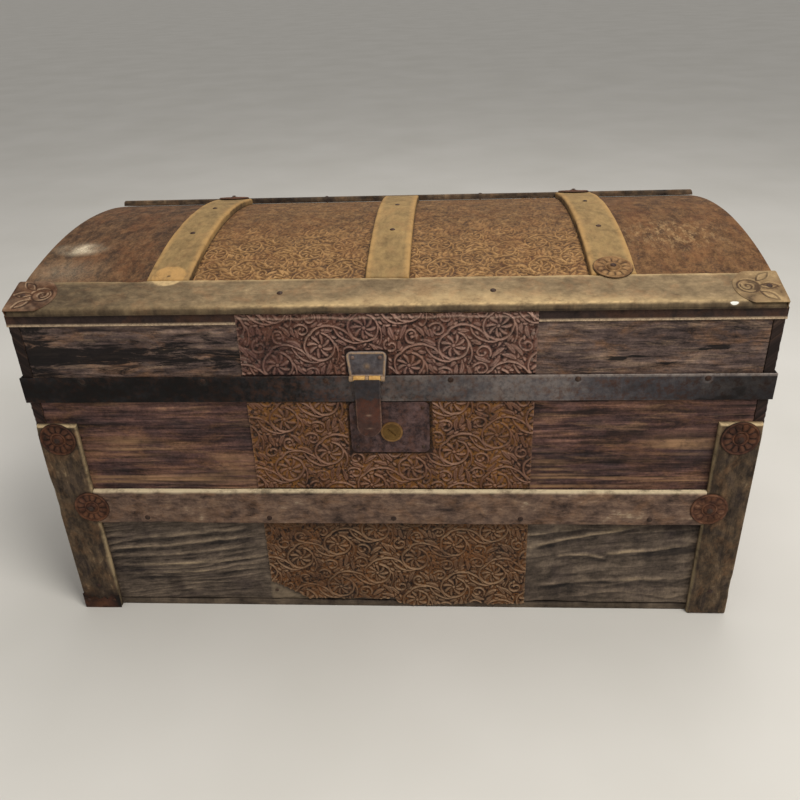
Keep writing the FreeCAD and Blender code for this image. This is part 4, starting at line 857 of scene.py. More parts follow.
def other_boards():
    join = spans("front_lower_plank")[2][1]
    plain = {"ridges": 0.6, "fine": 2.0}
    along, up, thickness, place = flat("back_planks", "back")
    backs = [board(along, (up[0], join), thickness, place, 41, 7.5, (40.0, 30.0), 0.04, **plain),
             board(along, (join, up[1]), thickness, place, 43, 7.0, (300.0, 60.0), 0.03, **plain)]
    dress("back_planks", backs, [UPPER_WOOD], "box")
    for side, word in SIDES:
        along, up, thickness, place = flat(f"{word}_end_planks", word)
        plank = {"lean": 0.05, "dirt": dark_ends(along, 1.1), **plain}
        ends = [board(along, (up[0], join), thickness, place, 47 + side, 7.5, (50.0, 30.0), **plank),
                board(along, (join, up[1]), thickness, place, 53 + side, 7.0, (180.0, 40.0), **plank)]
        dress(f"{word}_end_planks", ends, [UPPER_WOOD], "box")
        lid_end = board(*flat(f"lid_{word}_end", word), 59 + side, 6.5, (370.0, 30.0), 0.05, top=arch,
                        dirt=dark_ends(spans(f"lid_{word}_end")[1], 1.2), **plain)
        dress(f"lid_{word}_end", [lid_end], [END_WOOD], "lid")
    along, up, thickness, place = flat("lid_back_board", "back")
    rear = board(along, (up[0], LID_BOARD_TOP), thickness, place, 61, 6.5, (430.0, 50.0), 0.04, **plain)
    dress("lid_back_board", [rear], [END_WOOD], "lid")
    x, y, z = spans("bottom_planks")
    joins = np.linspace(y[0], y[1], 4)
    floor = [board(x, across, z[1] - z[0], on_floor, 67 + k, 7.0, (30.0, 30.0), 0.03, 0.5, fine=3.0,
                   coarse=8.0, dirt=dirt_and_shade_underneath) for k, across in enumerate(zip(joins, joins[1:]))]
    dress("bottom_planks", floor, [LOWER_WOOD], "box")


def highlit_top_end(along):
    """Painted highlight at the upper end of an upright piece."""
    return lambda u, v: fade(u - along[1] + 2.2 * MM, 1.4 * MM)


def rusty_foot(u, v):
    """Dark dirt over the metal shoe of the left batten."""
    return 0.8 * fade(56 * MM - u, 40 * MM)


def wall_slats():
    for facing, word in ((-1, "front"), (1, "back")):
        # The top edges of the wall slats take their palest colour as a painted highlight.
        bar = board(*flat(f"{word}_slat", word), 71 + facing, pith=(60.0, 20.0), chips=1.8, fine=1.2,
                    worn_and_highlit_edges=(0.0, 1.0), **SLAT)
        dress(f"{word}_slat", [bar], [WALL_SLAT_WOOD], "box")
    for side, word in SIDES:
        # The end slats' top edges take a painted highlight too, a little weaker.
        bar = board(*flat(f"{word}_end_slat", word), 77 + side, pith=(60.0, 20.0), chips=1.6,
                    worn_and_highlit_edges=(0.0, 0.7), **SLAT)
        dress(f"{word}_end_slat", [bar], [WALL_SLAT_WOOD], "box")
        x, y, z = spans(f"front_{word}_batten")
        # The battens' pale edges, strongest on their inner sides, are painted highlights, and so are their
        # upper ends.
        bar = board(z, x, y[1] - y[0], upright(y[1], -1), 83 + side, pith=(side * 420.0, 22.0), chips=2.0,
                    fine=1.2, worn_and_highlit_edges=(0.6, 0.35) if side > 0 else (0.35, 0.6), under=0.0,
                    shine=highlit_top_end(z), dirt=rusty_foot if side < 0 else None, **SLAT)
        dress(f"front_{word}_batten", [bar], [BATTEN_WOOD], "box")
    x, _, z = spans("front_right_batten")
    y = spans("back_battens")[1]
    bars = [board(z, tuple(sorted((side * x[0], side * x[1]))), y[1] - y[0], upright(y[0], 1), 89 + side,
                  pith=(side * 420.0, 22.0), chips=2.0, **SLAT) for side, _ in SIDES]
    dress("back_battens", bars, [BATTEN_WOOD], "box")


def bare_round(u, v):
    """The clean round left by a rosette that is gone, from the distances to its middle."""
    return 0.75 * fade(20.0 * MM - np.hypot(u, v), 2.5 * MM)


def front_lip_shade_and_paint(u, v):
    """Painted shade under the front slat's lip and towards both ends, most at the left, and a fleck of white
    paint, which counts below 0.
    """
    off = v + EDGE_SLAT_HALF
    ends = 0.36 * fade(-u - 0.05, 0.35) + 0.34 * fade(-u - 0.22, 0.12) + 0.3 * fade(u - 0.33, 0.06)
    ragged = 2.9 * MM + 0.9 * MM * rough(u * 60.0, 0.5, 107)
    dirt = most(0.62 * fade(ragged - off, 1.0 * MM), 0.95 * fade(0.6 * MM - off, 0.5 * MM), ends)
    fleck = fade(1.5 - np.hypot((u - 351 * MM) / (4.0 * MM), (off - 2.1 * MM) / (1.3 * MM)), 0.8)
    return dirt * (1 - fleck) - fleck


def front_lip_highlight_and_wear(u, v):
    """Painted highlights along the front slat's rounded lip, fainter to the left and at the far right, its
    rubbed rear edge, and the round of the lost rosette.
    """
    off = v + EDGE_SLAT_HALF
    reach = np.where(off > 5 * MM, 5 * MM + 14 * MM * bell(u - 0.08, 0.12), 1.6 * MM)
    glow = 0.4 * bell(off - 5 * MM, reach)
    corner = 0.75 * bell(off - 4.6 * MM, 1.5 * MM) * patchy(u, v, 330.0, 330.0, 106, 0.75, 0.8)
    line = np.maximum(glow, corner) * (1 - 0.85 * fade(-u - 0.04, 0.2) - 0.5 * fade(u - 0.24, 0.1))
    rear = 0.5 * fade(off - EDGE_SLAT_WIDTH + 7 * MM, 7 * MM)
    return most(line, rear, bare_round(u + CROSS_SLAT_SPACING, off - EDGE_SLAT_WIDTH - 8 * MM))


def lid_slats():
    across = (-EDGE_SLAT_HALF, EDGE_SLAT_HALF)
    edge_slat = {"pith": (50.0, 20.0), "lean": 0.02, "chips": 1.8, **LID_SLAT}
    place = on_dome(SLAT_BASE_RADIUS, FRONT_SLAT_ANGLE)
    bar = board(spans("lid_front_slat")[0], across, SLAT_THICKNESS, place, 97, coarse=2.0, lip=6.0,
                dirt=front_lip_shade_and_paint, shine=front_lip_highlight_and_wear, under=0.0, **edge_slat)
    dress("lid_front_slat", [bar], [EDGE_SLAT_WOOD], "lid")
    place = on_dome(SLAT_BASE_RADIUS, REAR_SLAT_ANGLE)
    bar = board(spans("lid_rear_slat")[0], across, SLAT_THICKNESS, place, 101, **edge_slat)
    dress("lid_rear_slat", [bar], [BATTEN_WOOD], "lid")
    radius = SLAT_BASE_RADIUS
    start = (FRONT_SLAT_ANGLE + EDGE_SLAT_REACH) * radius
    end = (REAR_SLAT_ANGLE - EDGE_SLAT_REACH) * radius
    hole_at = start + 8 * MM

    def bent(u, v, h):
        return round_dome(radius)(u / radius, v, h)
    for k, word in enumerate(("left", "middle", "right")):
        x = (k - 1) * CROSS_SLAT_SPACING
        side = (x - CROSS_SLAT_WIDTH / 2, x + CROSS_SLAT_WIDTH / 2)

        def rubbed_sides(u, v):
            off = np.minimum(v - side[0], side[1] - v)
            gone = bare_round(u - hole_at, v - x) if word == "left" else 0.0
            return np.maximum(0.5 * fade(9 * MM - off, 7 * MM), gone)

        # Painted shade along both sides; a dark hole where the left slat's rosette is gone, and the other
        # slats darker past 0.12 m behind the crown.
        def shaded_sides_and_hole(u, v):
            off = np.minimum(v - side[0], side[1] - v)
            hole = fade(2.6 * MM - np.hypot(u - hole_at, v - x), 1.6 * MM)
            dark = hole if word == "left" else 0.3 * fade(u - 0.12, 0.05)
            return np.maximum(0.85 * fade(0.5 * MM - off, 0.4 * MM), dark)
        bar = board((start, end), side, SLAT_THICKNESS - 0.1 * MM, bent, 103 + k,
                    pith=((x + 0.05) / MM, 25.0), chips=1.5, coarse=2.5, shine=rubbed_sides,
                    dirt=shaded_sides_and_hole, under=0.2, **LID_SLAT)
        dress(f"cross_slat_{word}", [bar], [CROSS_SLAT_WOOD], "lid")


# Pressed pattern of the tin: flowers in rings, joined by scrolling stems with leaves

TILE_PIXEL = 0.4 * MM
TILE_WIDTH = 141.6 * MM
TILE_HEIGHT = 66.0 * MM
FLOWER_RING = 16.2 * MM
VOLUTE_RADIUS = 8.6 * MM
PETAL_WIDTHS = np.array([0.7, 0.9, 1.2, 1.5, 1.8, 1.7, 1.1]) * MM
# Stems that leave a flower's ring: far radius, angles of both ends, points, half widths and height
STEMS = ((37.0, (-4.2, -6.1), 34, (1.3, 1.0), 1.0), (30.0, (-1.6, -3.1), 24, (1.2, 0.9), 0.95),
         (26.0, (0.2, -0.9), 18, (1.2, 0.8), 0.9))
# Leaves, the largest first: length and half width in millimetres, and how often a place is tried
LEAVES = ((17.0, 2.2, 500), (12.0, 1.9, 900), (8.0, 1.5, 1200), (5.0, 1.1, 1200))


def near_line(x, y, a, b):
    """Squared distance of places from the line between two points, and how far along it they lie."""
    step = b - a
    share = unit(((x - a[0]) * step[0] + (y - a[1]) * step[1]) / max(step @ step, 1e-12))
    return (x - a[0] - share * step[0]) ** 2 + (y - a[1] - share * step[1]) ** 2, share


def press(tile, path, half_width, height):
    """Presses a rounded ridge along a path into a repeating tile. A height below 0 cuts that share away."""
    path = np.asarray(path, float)
    width = np.broadcast_to(np.asarray(half_width, float), len(path))
    low = np.floor((path.min(0) - width.max()) / TILE_PIXEL).astype(int)
    high = np.ceil((path.max(0) + width.max()) / TILE_PIXEL).astype(int)
    columns = np.arange(low[0], high[0] + 1)[None, :]
    rows = np.arange(low[1], high[1] + 1)[:, None]
    ridge = np.zeros((rows.size, columns.size))
    for a, b, wa, wb in zip(path[:-1], path[1:], width[:-1], width[1:]):
        away, share = near_line(columns * TILE_PIXEL, rows * TILE_PIXEL, a, b)
        off = away / (wa + (wb - wa) * share) ** 2
        ridge = np.maximum(ridge, abs(height) * np.sqrt(unit(1 - off)))
    cells = (rows % tile.shape[0], columns % tile.shape[1])
    if height > 0:
        np.maximum.at(tile, cells, ridge)
    else:
        np.multiply.at(tile, cells, 1 - ridge)


def curl(centre, radii, angles, count=28):
    """Points of a spiral about a centre, in metres and radians."""
    share = np.linspace(0, 1, count)
    radius = radii[0] + (radii[1] - radii[0]) * share
    angle = angles[0] + (angles[1] - angles[0]) * share
    return np.stack([centre[0] + radius * np.cos(angle), centre[1] + radius * np.sin(angle)], -1)


def leaf_path(base, direction, length):
    """Points of a bent leaf's middle line."""
    share = np.linspace(0, 1, 7)
    bend = direction + 0.6 * share
    steps = np.stack([np.cos(bend), np.sin(bend)], -1) * length / 6
    return np.asarray(base) + np.cumsum(steps, 0) - steps[0]


def leaf(tile, path, half_width, height):
    """A pointed leaf, with a groove down its middle if it is wide."""
    share = np.linspace(0, 1, len(path))
    press(tile, path, 0.4 * MM + half_width * np.sin(math.pi * share ** 0.8), height)
    if half_width > 1.4 * MM:
        press(tile, path[1:-1], 0.6 * MM, -0.6)


def flower(tile, centre, petals, reach, turn):
    """Petals that lean round a boss."""
    for k in range(petals):
        start = turn + FULL_TURN * k / petals
        path = curl(centre, (3.4 * MM, reach), (start, start + 0.4), len(PETAL_WIDTHS))
        press(tile, path, PETAL_WIDTHS, 0.85)
    press(tile, [centre, centre], 2.2 * MM, 0.95)


def volute(tile, centre, radius, turn, hand, height):
    """A stem that coils in to a small knob."""
    path = curl(centre, (radius, 0.3 * radius), (turn, turn + hand * 6.6), 34)
    press(tile, path, np.linspace(1.1, 0.8, 34) * MM, height)
    press(tile, [path[-1], path[-1]], 1.7 * MM, height)


def is_free(tile, path, reach):
    """Whether nothing stands yet within reach of a path on the tile."""
    around = np.array([(0, 0), (1, 0), (-1, 0), (0, 1), (0, -1)]) * reach
    points = (path[:, None, :] + around[None]).reshape(-1, 2)
    cells = np.round(points / TILE_PIXEL).astype(int)
    return tile[cells[:, 1] % tile.shape[0], cells[:, 0] % tile.shape[1]].max() < 0.02


def scroll_tile():
    """Heights, 0 to 1, of one repeat: three flowers in coiled stems, with volutes, leaves and beads."""
    draw = np.random.default_rng(61)
    size = np.array([TILE_WIDTH, TILE_HEIGHT])
    tile = np.zeros((round(TILE_HEIGHT / TILE_PIXEL), round(TILE_WIDTH / TILE_PIXEL)))
    centres = [size / 3 * (k + 0.5) for k in range(3)]
    for k, centre in enumerate(centres):
        flower(tile, centre, 8, 12.6 * MM, 0.2 * k)
        press(tile, curl(centre, (FLOWER_RING - 0.6 * MM, FLOWER_RING), (1.3, -4.2), 44), 1.15 * MM, 1.0)
        for far, angles, count, widths, height in STEMS:
            path = curl(centre, (FLOWER_RING, far * MM), angles, count)
            press(tile, path, np.linspace(*widths, count) * MM, height)
    repeats = [centre + size * (a, b) for centre in centres for a in (-1, 0, 1) for b in (-1, 0, 1)]

    def swirl(at):
        """Direction round the nearest flower."""
        away = at - min(repeats, key=lambda c: np.hypot(*(at - c)))
        return math.atan2(away[1], away[0])
    for _ in range(60):
        at = draw.random(2) * size
        hand = 1 if draw.random() < 0.5 else -1
        if is_free(tile, curl(at, (VOLUTE_RADIUS, 0), (0, 12.6), 30), 0.6 * MM):
            volute(tile, at, VOLUTE_RADIUS, swirl(at) + draw.uniform(-0.6, 0.6), hand, 0.9)
    for length, half_width, tries in LEAVES:
        for _ in range(tries):
            at = draw.random(2) * size
            path = leaf_path(at, swirl(at) - 1.1 + draw.uniform(-0.9, 0.9), length * MM)
            if is_free(tile, path, (half_width - 0.1) * MM):
                leaf(tile, path, half_width * MM, draw.uniform(0.75, 0.95))
    for _ in range(700):
        at = draw.random(2) * size
        if is_free(tile, np.array([at, at]), 1.2 * MM):
            press(tile, [at, at], 0.9 * MM, 0.6)
    for axis in (0, 1):
        tile = (np.roll(tile, 1, axis) + 2 * tile + np.roll(tile, -1, axis)) / 4
    return tile


SCROLLS = scroll_tile()


def scrolls(x, y, scale=1.0):
    """The pattern's height, 0 to 1, at places on a sheet."""
    rows, columns = SCROLLS.shape
    fx = (x + 1.1 * MM * rough(x * 45.0, y * 45.0, 71)) / (TILE_PIXEL * scale)
    fy = (y + 1.1 * MM * rough(x * 45.0, y * 45.0, 73)) / (TILE_PIXEL * scale)
    return blend(lambda ix, iy: SCROLLS[iy % rows, ix % columns], fx, fy, lambda share: share)


# Sheet tin

FRONT_RELIEF = 2.1 * MM
DOME_RELIEF = 1.9 * MM
SHEET_BASE = 0.35 * MM
SHEET_LEAST = 0.1 * MM
DENT_LEAST = -0.2 * MM
FRONT_STEP = 0.75 * MM
TORN_WIDTH = 46 * MM
TORN_HEIGHT = 26 * MM
SLAT_SHADOW = 2.0 * MM


def clear_of(node, u, v):
    """0 where a piece covers a front sheet, 1 well outside it. The sheet takes painted shadow where this is
    below 1, in a wider band round the lock plate.
    """
    x, _, z = spans(node)
    margin = 2.2 * MM if node == "lock_plate" else 0.5 * MM
    away = most((x[0] - margin) - u, u - (x[1] + margin), (z[0] - margin) - v, v - (z[1] + margin))
    return fade(away, SLAT_SHADOW)


def ridge_shade_and_highlight(slope):
    """Painted shade under the ridges and painted highlights on their upper sides, from 0 to 1."""
    return unit(1.3 * slope), unit(-1.3 * slope)


def front_sheet(node, covered, seed, ragged, torn=False, crinkled=False):
    """A pressed sheet on the front, flat where plates and slats lie over it."""
    x, z, _, place = flat(node, "front")
    u = evenly(x, FRONT_STEP)
    share = np.linspace(0, 1, len(evenly(z, FRONT_STEP)))
    low = z[0] + ragged[0] * MM * patchy(u, 0.5, 60.0, 1.0, seed, 0.4, 1.0, 0.0, 2.0)
    if torn:
        corner = TORN_HEIGHT * unit(1 - (u - x[0]) / TORN_WIDTH)
        ripped = 6.5 * MM * fade(4 * MM - u, 9 * MM)
        low = low + corner + ripped - 3.0 * MM * fade(u - 4 * MM, 14 * MM) * fade(90 * MM - u, 40 * MM)
    high = z[1] - ragged[1] * MM * patchy(u, 3.5, 60.0, 1.0, seed + 1, 0.4, 1.0, 0.0, 2.0)
    grid_u, grid_v = drawn(u, low, high - low, share)
    in_view = least(*(clear_of(over, grid_u, grid_v) for over in covered))
    shape = scrolls(grid_u, grid_v)
    worn = patchy(grid_u, grid_v, 25.0, 25.0, seed + 2, 0.8, 0.35, 0.3, 1.1)
    dents = 0.35 * MM * rough(grid_u * 18.0, grid_v * 18.0, seed + 3)
    height = SHEET_BASE + in_view * (FRONT_RELIEF * shape * worn + np.maximum(dents, DENT_LEAST))
    relief = shape * worn * in_view
    # Painted shade under the ridges and painted highlights above them; next to the pieces lying over the
    # sheet it takes painted shadow.
    below, above = ridge_shade_and_highlight(np.gradient(relief, axis=1) / (share[1] * (z[1] - z[0]) / MM))
    edge = least(grid_u - x[0], x[1] - grid_u, grid_v - low[:, None], high[:, None] - grid_v)
    wear = np.maximum(unit(1 - edge / (1.2 * MM)) * 0.3, 0.62 * above)
    soil = np.maximum(0.9 * (1 - in_view), 0.95 * below)
    if torn:
        bruised = fade(60 * MM - grid_v, 40 * MM) * patchy(grid_u, grid_v, 22.0, 30.0, seed + 5, 0.3, 0.9)
        wear = np.maximum(wear, 0.55 * bruised * shape)
    if crinkled:
        wander = 2.2 * MM * rough(u * 45.0, 5.5, seed + 4)[:, None]
        fold = bell(grid_v - z[1] + 5.5 * MM + wander, 1.4 * MM)
        height = height + 0.9 * MM * fold
        # Besides the rubbed fold, painted light: paler ridges towards the right and painted shade towards the
        # left.
        wear = most(wear, 0.55 * fold, 0.42 * fade(grid_u + 20 * MM, 0.12) * shape)
        soil = np.maximum(soil, 0.17 * fade(-grid_u, 0.1))
    return slab(grid_u, grid_v, np.maximum(height, SHEET_LEAST), place, relief=relief, wear=wear, soil=soil)


def front_tins():
    over_box = ["lock_plate", "front_slat", "lid_band_front"]
    lower = front_sheet("front_lower_tin", over_box, 201, (2.2, 0.2), torn=True)
    dress("front_lower_tin", [lower], [LOWER_TIN], "box", "pressed")
    upper = front_sheet("front_upper_tin", over_box, 211, (0.2, 0.2))
    dress("front_upper_tin", [upper], [UPPER_TIN], "box", "pressed")
    lid = front_sheet("lid_front_tin", ["hasp_plate", "lid_band_front"], 221, (0.2, 1.4), crinkled=True)
    dress("lid_front_tin", [lid], [LID_TIN], "lid", "pressed")


def dome_sheet(side, pressed, step, seed):
    """Tin over the staves, flat under the slats, with the pattern rubbed away towards the crown.

    Its mesh is finer in front, where the pattern is deep.
    """
    reach = math.asin(HALF_DEPTH / TIN_BACK_RADIUS) - 0.1 * MM / TIN_BACK_RADIUS
    bend = -60 * MM / TIN_RADIUS
    front = np.linspace(-reach, bend, int((bend + reach) * TIN_RADIUS / (0.7 * step * MM)) + 1)
    rear = np.linspace(bend, reach, int((reach - bend) * TIN_RADIUS / (2 * step * MM)) + 1)
    u = np.concatenate([front, rear[1:]])
    grid_u, grid_v = np.meshgrid(u, evenly(side, 0.9 * step * MM), indexing="ij")
    arc = grid_u * TIN_RADIUS
    off_slats = [np.abs(arc - angle * TIN_RADIUS) - EDGE_SLAT_HALF
                 for angle in (FRONT_SLAT_ANGLE, REAR_SLAT_ANGLE)]
    off_slats += [np.abs(grid_v - k * CROSS_SLAT_SPACING) - CROSS_SLAT_WIDTH / 2 for k in (-1, 0, 1)]
    in_view = fade(least(*off_slats), SLAT_SHADOW)
    shape = scrolls(grid_v, arc * 0.9, 0.78) * (0.75 + 0.25 * noise(grid_v * 40.0, arc * 40.0, seed))
    rubbed = 0.35 + 0.65 * unit(-arc / 0.14)
    shape = shape * rubbed * pressed
    dents = 0.5 * MM * rough(grid_v * 9.0, arc * 9.0, seed + 1)
    height = SHEET_BASE + in_view * (DOME_RELIEF * shape + np.maximum(dents, DENT_LEAST))
    # Painted shade under the ridges and painted highlights above them; next to the slats the sheet takes
    # painted shadow.
    below, above = ridge_shade_and_highlight(np.gradient(shape, u * TIN_RADIUS / MM, axis=0))
    broken = 1 + 0.8 * rough(grid_v * 60.0, arc * 60.0, seed + 2)
    scuff = unit(0.9 * spot(grid_v, arc, -370, -84, 20, 12) * broken)
    flaked = 0.6 * spot(grid_v, arc, 322, -66, 55, 38) + 0.2 * spot(grid_v, arc, -372, -140, 40, 26)
    return slab(grid_u, grid_v, np.maximum(height, SHEET_LEAST), round_dome(TIN_BACK_RADIUS),
                relief=shape + 0.3 * (1 - pressed), wear=most(scuff, flaked, 0.5 * above),
                soil=np.maximum(0.5 * (1 - in_view), 0.9 * below))


def hem(side, seed):
    """The sheet's front edge, folded down over the board, with its rubbed lower edge."""
    low = TIN_EAVE - HEM_HEIGHT
    v = spaced(low, TIN_EAVE - 0.5 * MM, 1.5 * MM, 0.5 * MM)
    grid_u, grid_v = np.meshgrid(evenly(side, 2.0 * MM), v, indexing="ij")
    roll = bell(grid_v - low - 1.0 * MM, 1.1 * MM)
    height = 0.5 * MM + 0.9 * MM * roll + 0.15 * MM * rough(grid_u * 30.0, grid_v * 60.0, seed)
    sheet = slab(grid_u, grid_v, np.maximum(height, 0.2 * MM), lengthwise(-HALF_DEPTH, -1),
                 relief=0.12 + 0.1 * roll, wear=unit(1.3 * roll))
    return (*sheet, 1)


def dome_tins():
    panel = spans("front_upper_tin")[0]
    gap = 0.3 * MM
    inner = CROSS_SLAT_SPACING
    middle = [dome_sheet((-inner, inner), 1.0, 1.5, 301), hem((-inner, panel[0] - gap), 303),
              hem((panel[1] + gap, inner), 305)]
    dress("dome_tin_middle", middle, [DOME_TIN, HEM_TIN], "lid", "pressed")
    for word, side, seed in (("left", (-HALF_WIDTH, -inner), 311), ("right", (inner, HALF_WIDTH), 317)):
        sheets = [dome_sheet(side, 0.12, 2.5, seed), hem(side, seed + 2)]
        dress(f"dome_tin_{word}", sheets, [DOME_END_TIN[word], HEM_TIN], "lid")


# Pressed trim

ROSETTE_RADIUS = 21.0 * MM
ROSETTE_RIM = 19.5 * MM
PETALS = 12
PETAL_MIDDLE = 13.6 * MM
PETAL_HALF_LENGTH = 4.4 * MM
COLLAR_RADIUS = 7.8 * MM
KNOB_RADIUS = 6.4 * MM
CAP_LENGTH = 48.0 * MM
CAP_TIP = 16.0 * MM
CAP_THICKNESS = 1.2 * MM


def rosette(centre, out, seed, worn=0.0):
    """A pressed flower disc: petals inside a plain rim, round a knob, which faces along out."""
    out = Vector(out).normalized()
    side = Vector((1, 0, 0))
    up = out.cross(side)
    radii = np.concatenate([np.linspace(ROSETTE_RADIUS, 7 * MM, 30), np.linspace(KNOB_RADIUS, 0.4 * MM, 10)])
    angles = np.linspace(0, FULL_TURN, 144, endpoint=False)
    r, a = np.meshgrid(radii, angles, indexing="ij")
    petal = (np.mod(a * PETALS / FULL_TURN, 1) - 0.5) * 2
    across = petal * (r * math.pi / PETALS) / (2.7 * MM + 0.16 * (r - 9 * MM))
    down = (r - PETAL_MIDDLE) / PETAL_HALF_LENGTH
    petals = np.sqrt(unit(1 - across ** 2 - down ** 2))
    rim = bell(r - ROSETTE_RIM, 1.2 * MM)
    collar = bell(r - COLLAR_RADIUS, 0.8 * MM)
    boss = unit(1 - (r / KNOB_RADIUS) ** 2)
    x = r * np.cos(a)
    y = r * np.sin(a)
    dents = 0.25 * rough(x * 150.0, y * 150.0, seed)
    raised = 0.6 + 1.4 * petals + 1.0 * rim + 0.8 * collar + 2.4 * np.sqrt(boss) + dents
    height = np.clip(raised - 0.8 * worn * petals, 0.3, 3.15) * MM
    disc = np.array(centre) + x[..., None] * np.array(side) + y[..., None] * np.array(up)
    rings = disc + height[..., None] * np.array(out)
    shown = unit(0.35 + 0.4 * petals + 0.35 * rim + 0.45 * collar)
    relief = unit(shown + 0.4 * worn) * unit(0.75 + dents * 1.8)
    slots = bell((1 - np.abs(petal)) * r * math.pi / PETALS, 1.0 * MM)
    slots = slots * fade(4.6 * MM - np.abs(r - 13.4 * MM), 1.6 * MM) * np.clip(0.9 + 1.2 * dents, 0.4, 1)
    outline = np.maximum(fade(r - 20.2 * MM, 0.5 * MM), fade(2.6 * MM - r, 0.8 * MM))
    soil = np.maximum(0.95 * slots, 0.85 * outline) * (1 - worn)
    foot = np.zeros(len(angles))
    return ring_loft(np.concatenate([disc[:1], rings]), relief=np.concatenate([foot, relief.ravel()]),
                     soil=np.concatenate([foot, soil.ravel()]))


def rosettes():
    batten = spans("front_right_batten")
    slat = spans("front_slat")
    pressed = spans("box_rosettes")
    middle = (batten[0][0] + batten[0][1]) / 2
    slat_end = batten[0][0] + 4.0 * MM
    places = []
    for side in (-1, 1):
        places.append(Vector((side * middle, batten[1][0], pressed[2][1] - ROSETTE_RADIUS)))
        places.append(Vector((side * slat_end, slat[1][0], pressed[2][0] + ROSETTE_RADIUS)))
    worn = (0.0, 0.25, 0.0, 0.75)
    on_box = [rosette(p, (0, -1, 0), 401 + k, worn[k]) for k, p in enumerate(places)]
    dress("box_rosettes", on_box, [TRIM_TIN], "box", "pressed")
    seat = math.hypot(SLAT_TOP_RADIUS, EDGE_SLAT_HALF)
    back_off = EDGE_SLAT_REACH + 11.0 * MM / SLAT_TOP_RADIUS
    front = FRONT_SLAT_ANGLE + back_off
    rear = REAR_SLAT_ANGLE - back_off
    on_lid = []
    for k, (side, angle, kind) in enumerate(((1, front, 0), (-1, rear, 1), (1, rear, 1))):
        out = Vector((0, math.sin(angle), math.cos(angle)))
        centre = Vector((side * CROSS_SLAT_SPACING, 0, DOME_AXIS)) + out * seat
        on_lid.append((*rosette(centre, out, 411 + k, 0.25), kind))
    dress("lid_rosettes", on_lid, [LID_TRIM_TIN, TRIM_TIN], "lid", "pressed")


def cap_pattern(u, v):
    """An oval with a curl in it and three leaves behind. u runs from a cap's tip to the trunk's end."""
    turn = np.linspace(0, FULL_TURN, 33)
    oval = np.stack([15 * MM - 11 * MM * np.cos(turn), 10.5 * MM * np.sin(turn)], -1)
    strokes = [(oval, 1.3), (curl((14 * MM, 0.0), (7.0 * MM, 1.5 * MM), (2.8, 9.5), 20), 1.2)]
    share = np.linspace(0, 1, 9)
    for turned in (-0.75, 0.0, 0.75):
        root = np.array([25 * MM, 12 * MM * turned])
        for hand in (-1, 1):
            length = 20 * MM * share
            bow = hand * 4.2 * MM * np.sin(math.pi * share)
            side = np.stack([length * math.cos(turned) - bow * math.sin(turned),
                             length * math.sin(turned) + bow * math.cos(turned)], -1)
            strokes.append((root + side, 1.1))
    shape = np.zeros_like(u)
    for path, width in strokes:
        for a, b in zip(path[:-1], path[1:]):
            off = near_line(u, v, a, b)[0] / (width * MM) ** 2
            shape = np.maximum(shape, np.sqrt(unit(1 - off)))
    return shape


def corner_caps():
    half = EDGE_SLAT_HALF
    end = spans("lid_front_slat")[0][1]
    place = on_dome(SLAT_TOP_RADIUS, FRONT_SLAT_ANGLE)
    round_radius = (half ** 2 + CAP_TIP ** 2) / (2 * CAP_TIP)
    u = np.concatenate([CAP_TIP * np.linspace(0.002, 1, 24) ** 2,
                        np.linspace(CAP_TIP, CAP_LENGTH + CAP_THICKNESS, 44)[1:]])
    tip = np.sqrt(np.maximum(round_radius ** 2 - (round_radius - u) ** 2, 0))
    wide = np.minimum(np.where(u < CAP_TIP, tip, half), half)
    grid_u, grid_v = drawn(u, 0.0, wide, np.linspace(-1, 1, 64))
    shape = cap_pattern(grid_u, grid_v)
    # The pattern against a copy of itself shifted sideways: a painted highlight along one side of each
    # pressed line.
    raised = unit(cap_pattern(grid_u - 1.6 * MM, grid_v - 1.2 * MM) - shape)
    from_rim = np.minimum(wide[:, None] - np.abs(grid_v), grid_u)
    drop_u, drop_v = np.meshgrid(np.linspace(-half, half, 30), np.linspace(-SLAT_THICKNESS, 0, 8),
                                 indexing="ij")
    for side, word in SIDES:
        def lay(a, b, h):
            return place(side * (end - CAP_LENGTH + a), b, h)

        def stand(a, b, h):
            return place(side * (end + h), a, b)
        dents = rough(grid_u * 90.0, grid_v * 90.0, 427 + side)
        height = 0.5 * MM + 0.9 * MM * fade(from_rim, 4 * MM) - 0.7 * MM * shape + 0.3 * MM * dents
        top = slab(grid_u, grid_v, np.clip(height, 0.3 * MM, 1.2 * CAP_THICKNESS), lay,
                   relief=unit(0.55 - 0.5 * shape + 0.5 * raised + 0.5 * dents),
                   wear=(0.3 if side > 0 else 0.5) * raised,
                   soil=(0.3 if side > 0 else 0.55) * shape * unit(0.6 + dents))
        drop_dents = 0.2 * MM * noise(drop_u * 120.0, drop_v * 120.0, 431 + side)
        plate = slab(drop_u, drop_v, CAP_THICKNESS * 0.8 + drop_dents, stand, relief=0.3)
        dress(f"corner_cap_{word}", [top, plate], [CAP_TIN[word]], "lid", "pressed")


def batten_shoe():
    x, z, _, place = flat("left_batten_shoe", "front")
    u = np.linspace(*x, 48)
    top = z[1] - 11.0 * MM * np.clip(rough(u * 75.0, 0.5, 441, 4) + 0.35, 0, 1.3)
    grid_u, grid_v = drawn(u, z[0], top - z[0], np.linspace(0, 1, 30))
    dents = rough(grid_u * 45.0, grid_v * 45.0, 443)
    height = np.clip(0.5 * MM + 0.3 * MM * dents, 0.15 * MM, 0.8 * MM)
    shoe = slab(grid_u, grid_v, height, place, relief=0.3 + 0.35 * dents,
                soil=patchy(grid_u, grid_v, 70.0, 70.0, 445, 0.25, 0.7, 0.0, 0.9))
    dress("left_batten_shoe", [shoe], [TRIM_TIN], "box")


# Iron

